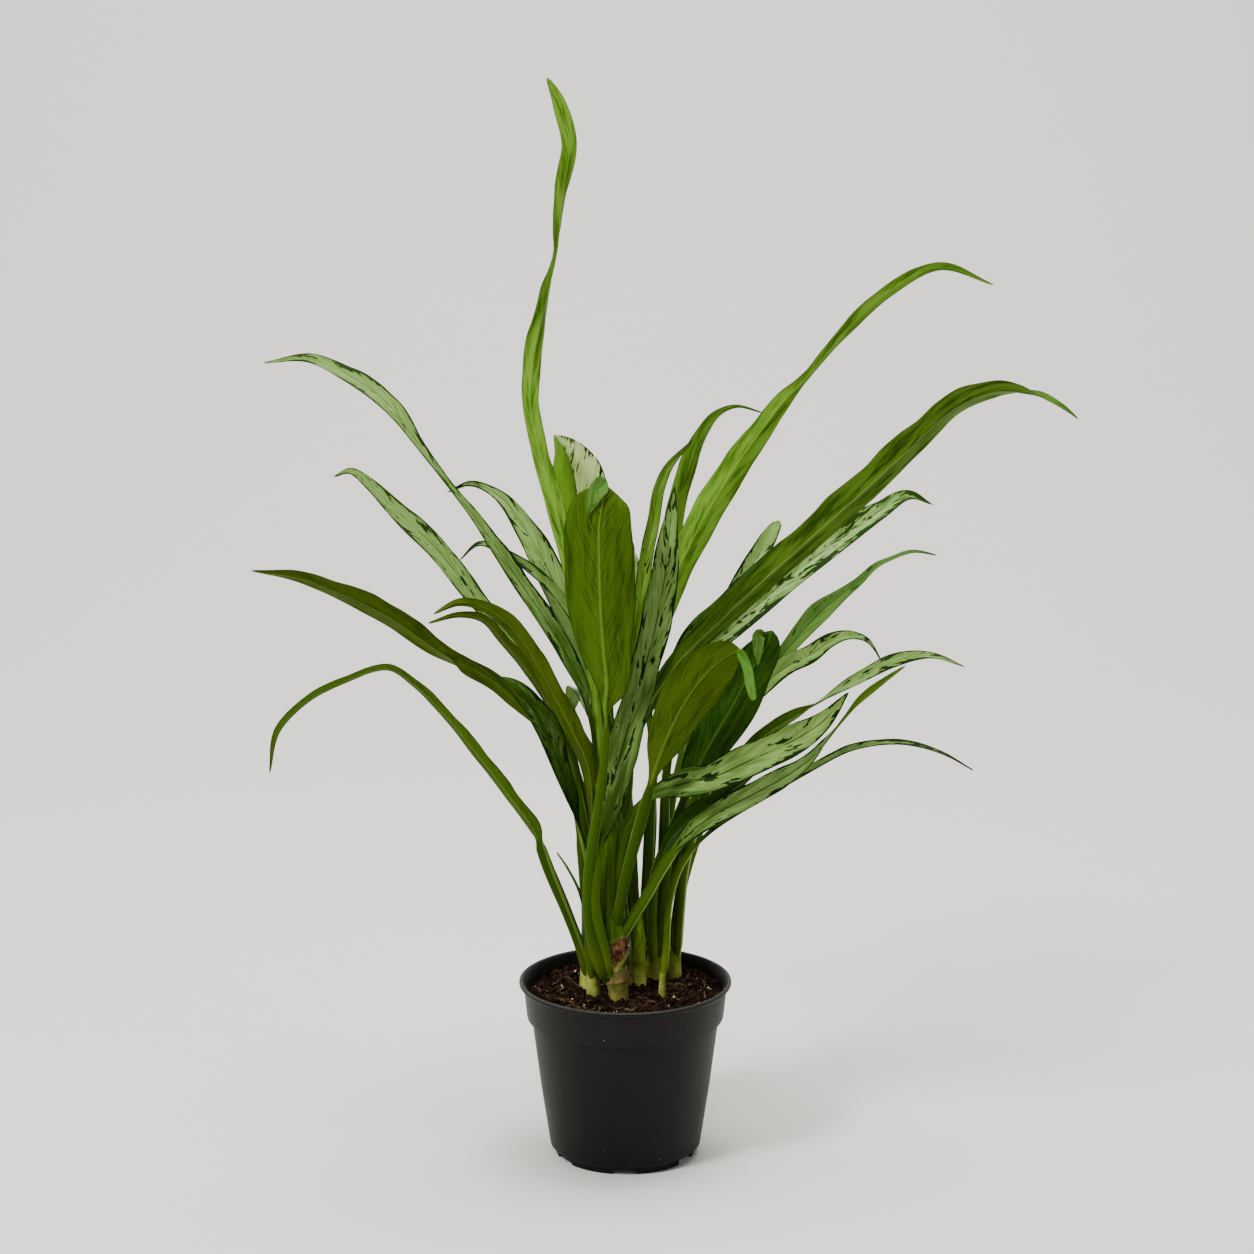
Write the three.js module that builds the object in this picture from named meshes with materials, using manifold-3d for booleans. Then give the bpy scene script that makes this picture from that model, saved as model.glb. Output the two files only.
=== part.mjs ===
// A potted Chinese evergreen with narrow leaves, in a round nursery pot.
// Millimetres, +Z up. The origin is the middle of the pot's underside, and -Y is the front.
import * as THREE from 'three';
import { mergeVertices } from 'three/addons/utils/BufferGeometryUtils.js';
import Module from 'manifold-3d';

const wasm = await Module();
wasm.setup();

// Pot: a thin moulded cup with a collar, a rolled rim and a notched foot.
const POT_HEIGHT = 102;
const RIM_RADIUS = 60;
const RIM_ROLL = 2.4;
const COLLAR_BOTTOM = 80;
const COLLAR_RADIUS_LOW = 55.7;
const COLLAR_RADIUS_HIGH = 57.2;
const BODY_RADIUS_TOP = 52.9;
const BODY_RADIUS_LOW = 42.6;
const FOOT_HEIGHT = 4.5;
const FOOT_RADIUS = 39.7;
const FOOT_WALL = 2.6;
const WALL = 1.6;
const PAD_RADIUS = 25;
const FLOOR = 2;
const NOTCHES = 6;
const NOTCH_WIDTH = 15;
const DRAIN_RADIUS = 3;
const POT_SEGMENTS = 48;

// Soil: fills the pot to a little under the rim, with a lumpy top.
const SOIL_TOP = 94;
const SOIL_GAP = 0.35;
const SOIL_LUMP = 1.1;
const SOIL_RINGS = 5;

// Stems stand in plain holes in the soil.
const HOLE_BOTTOM = 72;
const HOLE_GAP = 0.35;
const STEM_BOTTOM = HOLE_BOTTOM + 0.4;
const STEM_SIDES = 10;

// Leaves: a round stalk that widens into a thin blade, folded a little along its midrib.
const STALK_RADIUS = 2.1;
const BLADE_HALF_THICK = 0.8;
const EDGE_HALF_THICK = 0.35;
const BLADE_STEPS = 2;
const FULL_BLADE_WIDTH = 9;
const SHARP_TIP = 1.2;
const FRONT = [0, -1, 0];
const RIGHT = [1, 0, 0];

const COLOURS = {
  pot: { color: 0x1f2224, roughness: 0.62, metalness: 0 },
  soil: { color: 0x2c1c13, roughness: 0.95, metalness: 0 },
  leaf: { color: 0x4f7a2a, roughness: 0.42, metalness: 0 },
};

// Each leaf is a list of stations from the root to the tip: x, y, z, flat width, turn.
// Width 0 is the round stalk. Turn is the blade's turn about its midrib in degrees:
// 0 has the upper side facing the front, 180 the underside. On a leaf that grows straight back,
// zero names the right as the side that turn 0 faces.
// fold is how far each half of the blade is raised from flat, in degrees. stalk is the stalk's radius,
// where it isn't the usual one.
const SHOOTS = [
  {
    name: 'shoot_main',
    cane: [[-4, -10, STEM_BOTTOM, 6.4], [-4, -10, 98, 6.8], [-6, -9.5, 112, 6.4],
      [-7, -9, 126, 7.4], [-8, -8, 150, 7.2], [-7.5, -7.5, 178, 7.2], [-7, -7, 194, 6],
      [-6, -6, 207, 3.5]],
    leaves: {
      front: { fold: 8, route: [[-10, -11, 102, 0, 180], [-13, -15, 114, 0, 180],
        [-17.5, -18, 130, 0, 180], [-20.5, -20, 147, 0, 180], [-19.5, -24, 176, 0, 180],
        [-17, -28, 195, 0, 180], [-14.5, -31, 214, 0, 180], [-12, -33, 233, 0, 180],
        [-10.5, -34, 252, 0, 180], [-10.3, -35, 264, 3, 180], [-9.5, -35.5, 271, 8, 180],
        [-7.5, -36, 279, 18, 180], [-8, -37, 290, 25, 180], [-10, -38, 301, 30, 180],
        [-13, -41, 327, 39, 180], [-14, -43, 353, 42, 180], [-14, -44, 372, 39, 180],
        [-12, -42, 385, 30, 180], [-10, -38, 392, 14, 180]] },
      lance: { fold: 12, route: [[-9, -14, 106, 0, 0], [-12, -18, 125, 0, 0], [-17, -21, 152, 0, 0],
        [-16, -23, 178, 0, 0], [-13, -24, 196, 12, 0], [-8, -25, 219, 21, 0], [0, -26, 249, 20, 0],
        [8, -26, 279, 18, 0], [16, -25, 310, 19, -5], [21, -21, 337, 18, -10], [24, -14, 363, 11, -10],
        [27, -6, 386, 1, -10]] },
      spoon: { fold: 8, route: [[-6, -11, 132, 0, 180], [-3, -17, 150, 0, 180], [1, -23, 172, 0, 180],
        [7, -28, 196, 0, 180], [12, -32, 217, 0, 180], [16, -35, 233, 7, 180], [21, -39, 249, 21, 180],
        [30, -45, 271, 29, 180], [41, -50, 289, 31, 180], [50, -53, 299, 27, 180],
        [57, -55, 304, 18, 180], [62, -56, 306, 7, 180]] },
      spoon_tip: { fold: 10, stalk: 0.8, route: [[58, -55, 305, 0, 0], [61, -57, 305, 5, 0],
        [65, -59, 298, 6, 0], [67, -60, 288, 6, 0], [69, -60, 279, 4, 0]] },
      wide_right: { fold: 10, route: [[-6, -10, 134, 0, -20], [-3, -13, 154, 0, -20],
        [-2, -17, 177, 0, -20], [4, -19, 203, 0, -20], [15, -22, 216, 7, -20], [30, -26, 223, 16, -20],
        [49, -31, 229, 19, -25], [69, -36, 240, 20, -25], [90, -40, 251, 19, -25],
        [107, -43, 263, 12, -25], [121, -45, 280, 1, -25]] },
      low_right: { fold: 12, route: [[-4, -10, 126, 0, -30], [3, -13, 140, 0, -30],
        [12, -16, 156, 0, -30], [22, -18, 175, 0, -30], [35, -20, 193, 10, -30],
        [51, -23, 206, 14, -30], [69, -26, 217, 15, -30], [87, -29, 228, 13, -35],
        [102, -31, 240, 9, -60], [118, -33, 261, 6, -110], [133, -35, 278, 6, -150],
        [152, -38, 293, 1, -160]] },
      tall: { fold: 16, route: [[-8, -7, 140, 0, 180], [-10, -6, 172, 0, 180], [-12, -4, 208, 0, 180],
        [-15, -2, 253, 5, 180], [-21, 2, 298, 8, 180], [-30, 8, 336, 10, 180], [-38, 14, 369, 12, 175],
        [-46, 20, 396, 11, 170], [-52, 26, 425, 11, 165], [-51, 33, 452, 12, 200],
        [-45, 41, 482, 13, 240], [-39, 48, 508, 12, 262], [-36, 54, 538, 11, 225],
        [-31, 58, 565, 10, 190], [-36, 60, 587, 9, 180], [-43, 60, 602, 2, 180]] },
      right_tall: { fold: 10, route: [[-5, -6, 140, 0, 180], [-3, -4, 167, 0, 180],
        [0, -3, 207, 0, 180], [6, 1, 251, 6, 180], [16, 8, 295, 12, 180], [29, 16, 334, 17, 180],
        [44, 24, 363, 19, 180], [59, 31, 387, 18, 182], [73, 37, 406, 15, 185], [88, 44, 425, 11, 190],
        [103, 52, 440, 7, 220], [123, 61, 462, 10, 215], [148, 72, 483, 9, 200], [177, 84, 495, 6, 200],
        [209, 96, 483, 1, 200]] },
      big_right: { fold: 16, route: [[-4, -3, 140, 0, 200], [-1, 1, 172, 0, 200], [1, 5, 212, 0, 200],
        [8, 11, 248, 7, 200], [28, 15, 281, 13, 200], [57, 18, 311, 19, 200], [93, 22, 344, 21, 200],
        [128, 27, 375, 23, 202], [148, 31, 393, 23, 206], [161, 34, 405, 23, 212],
        [178, 38, 420, 22, 218], [192, 40, 428, 21, 222], [207, 42, 432, 18, 224],
        [218, 44, 431, 13, 235], [231, 46, 428, 9, 285], [243, 48, 422, 8, 290],
        [253, 50, 414, 1, 290]] },
      flecked: { fold: 12, route: [[-6, -3, 140, 0, -20], [-3, 5, 171, 0, -20], [0, 13, 210, 0, -20],
        [13, 23, 252, 5, -20], [36, 31, 277, 10, -20], [63, 40, 299, 16, -25], [92, 50, 323, 18, -30],
        [120, 60, 343, 18, -35], [144, 68, 358, 14, -40], [161, 73, 366, 8, -50],
        [175, 76, 360, 1, -60]] },
    },
  },
  {
    name: 'shoot_left',
    cane: [[-18, -4, STEM_BOTTOM, 3.4], [-18, -4, 100, 3.6], [-19, -4, 122, 3.2],
      [-20, -4, 142, 2.2]],
    leaves: {
      long_left: { fold: 12, route: [[-18, -5, 100, 0, 140], [-20, -7, 124, 0, 140],
        [-22, -9, 154, 0, 140], [-24, -11, 181, 0, 110], [-28, -14, 206, 9, 60],
        [-35, -18, 230, 14, 40], [-44, -24, 257, 18, 40], [-58, -32, 277, 15, 60],
        [-77, -43, 290, 11, 125], [-101, -57, 307, 13, 160], [-124, -72, 328, 16, 160],
        [-147, -88, 344, 14, 155], [-170, -102, 356, 9, 150], [-193, -115, 362, 1, 150]] },
      long_left_lap: { fold: 6, stalk: 0.8, route: [[-97, -57, 304, 0, 165], [-86, -50, 296, 9, 165],
        [-72, -43, 286, 10, 165], [-60, -37, 273, 8, 165], [-51, -32, 260, 1, 165]] },
      olive_left: { fold: 12, route: [[-18, -4, 114, 0, 160], [-19, -2, 147, 0, 160],
        [-19, -3, 179, 0, 160], [-18, -8, 205, 7, 160], [-20, -15, 231, 13, 160],
        [-29, -25, 255, 14, 160], [-39, -36, 278, 13, 160], [-49, -43, 299, 12, 160],
        [-60, -50, 317, 12, 160], [-73, -57, 329, 8, 170], [-88, -64, 334, 5, 180],
        [-102, -71, 329, 1, 180]] },
      olive_left_low: { fold: 10, route: [[-19, -3, 118, 0, 150], [-21, 0, 160, 0, 150],
        [-24, 0, 196, 0, 150], [-31, -4, 235, 5, 150], [-42, -10, 266, 8, 150], [-54, -17, 287, 9, 150],
        [-66, -25, 304, 8, 150], [-77, -33, 318, 6, 160], [-90, -41, 322, 4, 170],
        [-106, -49, 319, 1, 180]] },
      small_spear: { fold: 20, stalk: 1.2, route: [[-19, -6, 112, 0, 90], [-20, -9, 128, 0, 70],
        [-22, -13, 143, 3, 60], [-26, -15, 159, 3, 60], [-32, -17, 172, 2, 60],
        [-38, -19, 182, 1, 60]] },
    },
  },
  {
    name: 'shoot_far_left',
    cane: [[-22, 8, STEM_BOTTOM, 3.4], [-22, 8, 100, 3.6], [-22, 9, 118, 2.6]],
    leaves: {
      arching_left: { fold: 14, route: [[-21, 7, 98, 0, 120], [-24, 5, 114, 0, 120],
        [-33, 2, 141, 0, 120], [-43, -1, 167, 0, 130], [-47, -2, 179, 0, 140], [-50, -3, 190, 9, 150],
        [-64, -7, 212, 10, 150], [-82, -12, 238, 10, 150], [-99, -17, 261, 8, 150],
        [-115, -22, 279, 7, 150], [-129, -26, 289, 6, 145], [-153, -30, 283, 6, 145],
        [-176, -34, 271, 6, 145], [-190, -37, 255, 5, 140], [-194, -39, 233, 1, 140]] },
      silver_left: { fold: 10, route: [[-22, 9, 104, 0, 30], [-22, 11, 151, 0, 30],
        [-23, 14, 191, 0, 30], [-31, 18, 231, 0, 30], [-47, 24, 267, 6, 30], [-68, 30, 296, 10, 30],
        [-87, 37, 318, 13, 30], [-105, 44, 340, 14, 30], [-125, 51, 358, 13, 30],
        [-144, 58, 375, 8, 40], [-155, 62, 382, 5, 45], [-165, 65, 378, 1, 50]] },
      upper_left: { fold: 12, route: [[-21, 9, 104, 0, 20], [-18, 14, 150, 0, 20],
        [-16, 18, 190, 0, 20], [-16, 21, 219, 0, 20], [-21, 22, 259, 7, 20], [-32, 22, 284, 11, 20],
        [-44, 22, 305, 12, 25], [-58, 22, 326, 12, 30], [-71, 22, 346, 11, 40], [-87, 24, 368, 7, 50],
        [-104, 28, 389, 6, 55], [-116, 33, 405, 9, 50], [-131, 39, 424, 13, 40],
        [-152, 47, 438, 12, 40], [-177, 56, 447, 7, 45], [-203, 65, 443, 1, 50]] },
      rear_left: { fold: 12, route: [[-22, 10, 106, 0, 30], [-21, 20, 150, 0, 30],
        [-23, 30, 195, 0, 30], [-34, 40, 235, 4, 30], [-48, 50, 261, 8, 30], [-69, 70, 285, 10, 30],
        [-89, 88, 306, 10, 35], [-109, 104, 326, 9, 40], [-126, 117, 341, 5, 45],
        [-135, 124, 347, 1, 50]] },
    },
  },
  {
    name: 'shoot_back',
    cane: [[7, 14, STEM_BOTTOM, 4.6], [7, 14, 100, 4.8], [7, 16, 120, 4.4], [6, 19, 140, 2.8]],
    leaves: {
      broad_left: { fold: 12, route: [[7, 15, 104, 0, 30], [4, 20, 149, 0, 30], [-1, 25, 195, 0, 30],
        [-8, 29, 229, 6, 30], [-19, 33, 266, 15, 25], [-28, 37, 295, 19, 20], [-38, 41, 318, 19, 20],
        [-47, 46, 336, 18, 20], [-57, 51, 352, 14, 20], [-66, 56, 364, 10, 25], [-76, 61, 371, 6, 35],
        [-88, 66, 374, 4, 35], [-101, 71, 368, 1, 40]] },
      thin_left: { fold: 14, stalk: 1.4, route: [[6, 13, 106, 0, 30], [3, 15, 140, 0, 30],
        [0, 17, 175, 0, 30], [-4, 19, 208, 0, 30], [-12, 21, 253, 4, 30], [-23, 26, 292, 6, 30],
        [-35, 30, 314, 7, 30], [-51, 34, 330, 7, 30], [-66, 38, 339, 6, 35], [-82, 43, 344, 4, 50],
        [-93, 47, 334, 1, 60]] },
      folded_back: { fold: 56, route: [[6, 16, 108, 0, 68], [3, 24, 150, 0, 68], [-3, 32, 205, 0, 68],
        [-9, 42, 260, 3, 68], [-16, 51, 303, 20, 68], [-20, 55, 333, 50, 68], [-24, 58, 355, 72, 68],
        [-27, 60, 371, 74, 68], [-30, 62, 384, 63, 68], [-34, 64, 394, 37, 68],
        [-40, 66, 402, 3, 68]] },
      silver_mid: { fold: 12, route: [[7, 17, 108, 0, 10], [4, 28, 160, 0, 10], [1, 34, 205, 0, 10],
        [0, 38, 245, 0, 10], [4, 41, 281, 5, 10], [9, 43, 315, 9, 10], [13, 45, 343, 9, 10],
        [16, 47, 357, 8, 10], [19, 49, 374, 8, 15], [24, 51, 386, 6, 20], [38, 56, 401, 1, 30]] },
      bent_mid: { fold: 14, route: [[8, 18, 110, 0, 180], [2, 34, 160, 0, 180], [-3, 44, 210, 0, 180],
        [3, 50, 255, 0, 180], [15, 54, 300, 7, 185], [25, 58, 338, 12, 190], [30, 61, 367, 13, 200],
        [35, 63, 383, 13, 205], [41, 66, 399, 11, 210], [50, 71, 411, 9, 225], [63, 79, 416, 6, 240],
        [78, 88, 411, 1, 245]] },
      slim_right: { fold: 12, route: [[8, 16, 108, 0, -20], [12, 24, 150, 0, -20],
        [15, 33, 200, 0, -20], [20, 40, 244, 0, -20], [33, 48, 284, 10, -20], [59, 56, 309, 12, -25],
        [82, 63, 331, 9, -30], [104, 69, 351, 1, -30]] },
      rear_mid: { fold: 14, zero: RIGHT, route: [[9, 17, 108, 0, -90], [12, 28, 140, 0, -90],
        [15, 42, 185, 0, -90], [14, 58, 235, 4, -90], [8, 83, 285, 12, -90], [0, 114, 314, 19, -90],
        [-4, 150, 322, 19, -90], [-5, 184, 308, 12, -90], [-4, 210, 280, 1, -90]] },
      rear_top: { fold: 14, zero: RIGHT, route: [[6, 19, 112, 0, -90], [3, 36, 150, 0, -90],
        [-4, 52, 200, 0, -90], [-9, 64, 255, 4, -90], [-12, 76, 305, 13, -90], [-13, 90, 334, 19, -90],
        [-12, 108, 350, 18, -90], [-9, 130, 350, 11, -90], [-6, 150, 336, 1, -90]] },
      rear_low_left: { fold: 14, zero: RIGHT, route: [[5, 18, 110, 0, -90], [2, 30, 130, 0, -90],
        [-5, 56, 178, 0, -90], [-12, 84, 214, 6, -90], [-20, 114, 234, 14, -90],
        [-27, 144, 236, 16, -90], [-32, 170, 222, 11, -90], [-35, 190, 202, 1, -90]] },
    },
  },
  {
    name: 'shoot_right',
    cane: [[17, 25, STEM_BOTTOM, 4.8], [17, 25, 100, 5], [18, 26, 116, 3.6]],
    leaves: {
      dark_right: { fold: 10, route: [[18, 24, 102, 0, 180], [21, 19, 145, 0, 180],
        [25, 12, 178, 0, 180], [31, 5, 200, 0, 180], [38, -3, 222, 17, 180], [48, -12, 245, 27, 180],
        [59, -19, 267, 31, 180], [69, -24, 288, 27, 180], [76, -26, 300, 20, 180],
        [80, -27, 310, 8, 180]] },
      dark_tip: { fold: 10, stalk: 0.8, route: [[77, -27, 308, 0, 0], [73, -31, 309, 7, 0],
        [72, -33, 302, 7, 0], [72, -33, 291, 1, 0]] },
      dark_low: { fold: 12, route: [[16, 24, 101, 0, -150], [15, 14, 134, 0, -150],
        [17, 5, 163, 0, -150], [24, -2, 184, 10, -150], [36, -8, 199, 15, -150],
        [50, -12, 210, 15, -150], [63, -16, 221, 9, -150], [75, -20, 231, 1, -150]] },
      short_right: { fold: 12, route: [[18, 26, 102, 0, -10], [21, 34, 136, 0, -10],
        [22, 44, 170, 0, -10], [25, 58, 217, 0, -10], [39, 70, 260, 7, -10], [55, 80, 292, 11, -12],
        [70, 88, 317, 13, -15], [81, 96, 334, 12, -20], [89, 104, 345, 7, -50]] },
      sage_right: { fold: 12, route: [[20, 25, 102, 0, -30], [22, 26, 140, 0, -30],
        [29, 28, 169, 0, -30], [42, 31, 204, 0, -30], [61, 35, 243, 4, -30], [78, 36, 268, 7, -30],
        [93, 37, 287, 11, -30], [102, 40, 297, 13, -30], [111, 43, 306, 14, -30],
        [122, 46, 314, 9, -32], [132, 49, 321, 6, -38], [141, 52, 329, 5, -50], [150, 55, 333, 4, -60],
        [163, 60, 336, 3, -60], [177, 64, 333, 1, -60]] },
      rear_low_right: { fold: 14, zero: RIGHT, route: [[17, 27, 102, 0, -90], [20, 42, 146, 0, -90],
        [27, 64, 190, 0, -90], [36, 90, 222, 7, -90], [47, 119, 240, 16, -90], [57, 148, 243, 18, -90],
        [64, 176, 232, 13, -90], [68, 198, 212, 1, -90]] },
    },
  },
  {
    name: 'shoot_far_right',
    cane: [[28, 26, STEM_BOTTOM, 3.8], [28, 26, 100, 4], [29, 26, 116, 2.8]],
    leaves: {
      flecked_small: { fold: 12, route: [[29, 25, 104, 0, -30], [31, 22, 135, 0, -30],
        [34, 19, 166, 0, -30], [44, 15, 202, 0, -30], [61, 11, 249, 6, -30], [77, 7, 271, 12, -30],
        [90, 4, 283, 12, -30], [102, 1, 290, 13, -35], [114, -2, 299, 10, -45], [124, -4, 302, 7, -55],
        [133, -6, 300, 5, -60], [141, -9, 289, 1, -70]] },
      twist_right: { fold: 12, route: [[28, 27, 102, 0, -100], [30, 28, 135, 0, -100],
        [37, 25, 168, 0, -100], [48, 18, 200, 0, -120], [62, 8, 227, 5, -150], [78, -2, 246, 10, -160],
        [94, -10, 259, 10, -140], [109, -16, 269, 6, -90], [126, -21, 281, 9, -50],
        [147, -26, 293, 10, -50], [167, -31, 297, 6, -60], [184, -36, 292, 1, -70]] },
      rear_right: { fold: 12, route: [[29, 28, 104, 0, -30], [33, 38, 155, 0, -30],
        [36, 56, 213, 0, -30], [39, 72, 248, 3, -30], [48, 92, 277, 8, -30], [66, 110, 298, 11, -30],
        [96, 122, 322, 11, -30], [123, 140, 341, 9, -35], [144, 152, 354, 5, -40],
        [157, 160, 359, 1, -40]] },
    },
  },
  {
    name: 'shoot_sprout',
    cane: [[21, -9, STEM_BOTTOM, 1.7], [21, -9, 104, 1.8], [22, -9, 112, 1.5]],
    leaves: {
      low_arc: { fold: 14, stalk: 1.4, route: [[21, -9, 104, 0, -30], [23, -9, 122, 0, -30],
        [25, -7, 151, 0, -30], [32, -5, 172, 0, -30], [48, -7, 191, 3, -40], [73, -12, 210, 5, -50],
        [99, -18, 228, 6, -55], [123, -25, 243, 6, -60], [147, -33, 249, 5, -60],
        [170, -41, 246, 4, -70], [189, -48, 237, 1, -80]] },
    },
  },
];

// ---- solids and meshes

function geometryOf(points, triangles) {
  const geometry = new THREE.BufferGeometry();
  geometry.setAttribute('position', new THREE.Float32BufferAttribute(points.flat(), 3));
  geometry.setIndex(triangles.flat());
  return geometry;
}

function solidOf(geometry) {
  const bare = geometry.clone();
  bare.deleteAttribute('normal');
  bare.deleteAttribute('uv');
  const merged = mergeVertices(bare, 1e-4);
  return new wasm.Manifold(new wasm.Mesh({
    numProp: 3,
    vertProperties: new Float32Array(merged.attributes.position.array),
    triVerts: new Uint32Array(merged.index.array),
  }));
}

// The outside of a solid as a geometry: sealed hollows and loose scraps are left out.
function outsideOf(solid) {
  const { vertProperties, triVerts } = solid.getMesh();
  const parent = Array.from({ length: vertProperties.length / 3 }, (_, i) => i);
  const find = (i) => {
    while (parent[i] !== i) {
      parent[i] = parent[parent[i]];
      i = parent[i];
    }
    return i;
  };
  for (let t = 0; t < triVerts.length; t += 3) {
    parent[find(triVerts[t + 1])] = find(triVerts[t]);
    parent[find(triVerts[t + 2])] = find(triVerts[t]);
  }
  const at = (i) => new THREE.Vector3().fromArray(vertProperties, 3 * i);
  const volumes = new Map();
  for (let t = 0; t < triVerts.length; t += 3) {
    const shell = find(triVerts[t]);
    const [a, b, c] = [at(triVerts[t]), at(triVerts[t + 1]), at(triVerts[t + 2])];
    volumes.set(shell, (volumes.get(shell) ?? 0) + a.dot(b.cross(c)) / 6);
  }
  const [outer] = [...volumes.entries()].reduce((best, entry) => (entry[1] > best[1] ? entry : best));
  const kept = [];
  for (let t = 0; t < triVerts.length; t += 3) {
    if (find(triVerts[t]) === outer) kept.push(triVerts[t], triVerts[t + 1], triVerts[t + 2]);
  }
  const geometry = new THREE.BufferGeometry();
  geometry.setAttribute('position', new THREE.BufferAttribute(new Float32Array(vertProperties), 3));
  geometry.setIndex(kept);
  return geometry;
}

// A closed body through rings of equal counts. The far half of each ring is split the other way,
// so that a thin body has the same diagonals on both of its faces.
function loft(rings) {
  const sides = rings[0].length;
  const points = rings.flat();
  const triangles = [];
  for (let i = 0; i + 1 < rings.length; i += 1) {
    for (let k = 0; k < sides; k += 1) {
      const next = (k + 1) % sides;
      const [a, b] = [i * sides + k, i * sides + next];
      const [c, d] = [a + sides, b + sides];
      if (k < sides / 2) triangles.push([a, b, d], [a, d, c]);
      else triangles.push([a, b, c], [b, d, c]);
    }
  }
  const last = (rings.length - 1) * sides;
  for (let k = 1; k + 1 < sides; k += 1) {
    triangles.push([0, k + 1, k], [last, last + k, last + k + 1]);
  }
  return geometryOf(points, triangles);
}

function lathe(profile, segments) {
  const geometry = new THREE.LatheGeometry(profile.map(([r, z]) => new THREE.Vector2(r, z)), segments);
  geometry.rotateX(Math.PI / 2);
  return geometry;
}

function rod(radius, bottom, top, sides, x, y) {
  const geometry = new THREE.CylinderGeometry(radius, radius, top - bottom, sides);
  geometry.rotateX(Math.PI / 2);
  geometry.translate(x, y, (top + bottom) / 2);
  return geometry;
}

// ---- leaves and stems

const smooth = (t) => t * t * (3 - 2 * t);

function stationsOf(route) {
  const curve = new THREE.CatmullRomCurve3(route.map(([x, y, z]) => new THREE.Vector3(x, y, z)));
  const stations = [];
  for (let i = 0; i + 1 < route.length; i += 1) {
    const steps = route[i + 1][3] > 0 ? BLADE_STEPS : 1;
    for (let j = 0; j < steps; j += 1) {
      const t = j / steps;
      stations.push({ at: (i + t) / (route.length - 1),
        width: THREE.MathUtils.lerp(route[i][3], route[i + 1][3], t),
        turn: THREE.MathUtils.lerp(route[i][4], route[i + 1][4], t) });
    }
  }
  const end = route[route.length - 1];
  stations.push({ at: 1, width: end[3], turn: end[4] });
  return stations.map((s) => ({ ...s, point: curve.getPoint(s.at), along: curve.getTangent(s.at) }));
}

function leafRing({ point, along, width, turn }, { fold, stalk = STALK_RADIUS, zero = FRONT }) {
  const start = new THREE.Vector3(...zero);
  start.addScaledVector(along, -start.dot(along)).normalize();
  const aside = new THREE.Vector3().crossVectors(along, start);
  const angle = THREE.MathUtils.degToRad(turn);
  const up = start.multiplyScalar(Math.cos(angle)).addScaledVector(aside, Math.sin(angle));
  const across = new THREE.Vector3().crossVectors(along, up);
  const flat = smooth(Math.min(1, width / FULL_BLADE_WIDTH));
  const raised = THREE.MathUtils.degToRad(fold) * flat;
  const tip = width > 0 && width < FULL_BLADE_WIDTH ? Math.max(SHARP_TIP, width) : width;
  const half = Math.max(tip, width > 0 ? 0 : 2 * stalk * Math.cos(Math.PI / 6)) / 2;
  const narrow = width > 0 ? Math.max(width / 3, BLADE_HALF_THICK) : stalk;
  const middle = THREE.MathUtils.lerp(Math.min(stalk, narrow), BLADE_HALF_THICK, flat);
  const edge = THREE.MathUtils.lerp(middle / 2, EDGE_HALF_THICK, flat);
  const spot = (sideways, upwards) => point.clone()
    .addScaledVector(across, sideways).addScaledVector(up, upwards).toArray();
  const [out, lift] = [half * Math.cos(raised), (half * Math.sin(raised)) / 2];
  return [spot(-out, lift + edge), spot(0, middle - lift), spot(out, lift + edge),
    spot(out, lift - edge), spot(0, -middle - lift), spot(-out, lift - edge)];
}

function leaf(one) {
  return loft(stationsOf(one.route).map((station) => leafRing(station, one)));
}

function cane(stations) {
  return loft(stations.map(([x, y, z, radius]) => Array.from({ length: STEM_SIDES }, (_, k) => {
    const angle = (2 * Math.PI * k) / STEM_SIDES;
    return [x + radius * Math.cos(angle), y + radius * Math.sin(angle), z];
  })));
}

function shoot({ cane: stations, leaves }) {
  const solids = Object.values(leaves).map((one) => solidOf(leaf(one)));
  return outsideOf(solids.reduce((whole, one) => whole.add(one), solidOf(cane(stations))));
}

// ---- pot

function potProfile() {
  const under = COLLAR_BOTTOM + 1.5;
  const channel = FOOT_HEIGHT + FLOOR;
  return [
    [0, 0], [PAD_RADIUS, 0], [PAD_RADIUS + 1, FOOT_HEIGHT], [FOOT_RADIUS - FOOT_WALL, FOOT_HEIGHT],
    [FOOT_RADIUS - FOOT_WALL, 0], [FOOT_RADIUS, 0], [FOOT_RADIUS + 0.6, FOOT_HEIGHT],
    [BODY_RADIUS_LOW, FOOT_HEIGHT + 0.6], [BODY_RADIUS_TOP, COLLAR_BOTTOM - 0.5],
    [COLLAR_RADIUS_LOW - 1, COLLAR_BOTTOM], [COLLAR_RADIUS_LOW, under],
    [COLLAR_RADIUS_HIGH, POT_HEIGHT - 6], [COLLAR_RADIUS_HIGH + 0.5, POT_HEIGHT - 4],
    [RIM_RADIUS - 0.5, POT_HEIGHT - RIM_ROLL], [RIM_RADIUS, POT_HEIGHT - RIM_ROLL / 2],
    [RIM_RADIUS - 0.7, POT_HEIGHT], [RIM_RADIUS - 2, POT_HEIGHT],
    [COLLAR_RADIUS_HIGH - WALL, POT_HEIGHT - 3.5], [COLLAR_RADIUS_LOW - WALL, under + 0.5],
    [BODY_RADIUS_TOP - WALL, COLLAR_BOTTOM - 0.5], [BODY_RADIUS_LOW - WALL, channel],
    [PAD_RADIUS - 0.6, channel], [PAD_RADIUS - 1.6, FLOOR], [0, FLOOR],
  ];
}

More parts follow.
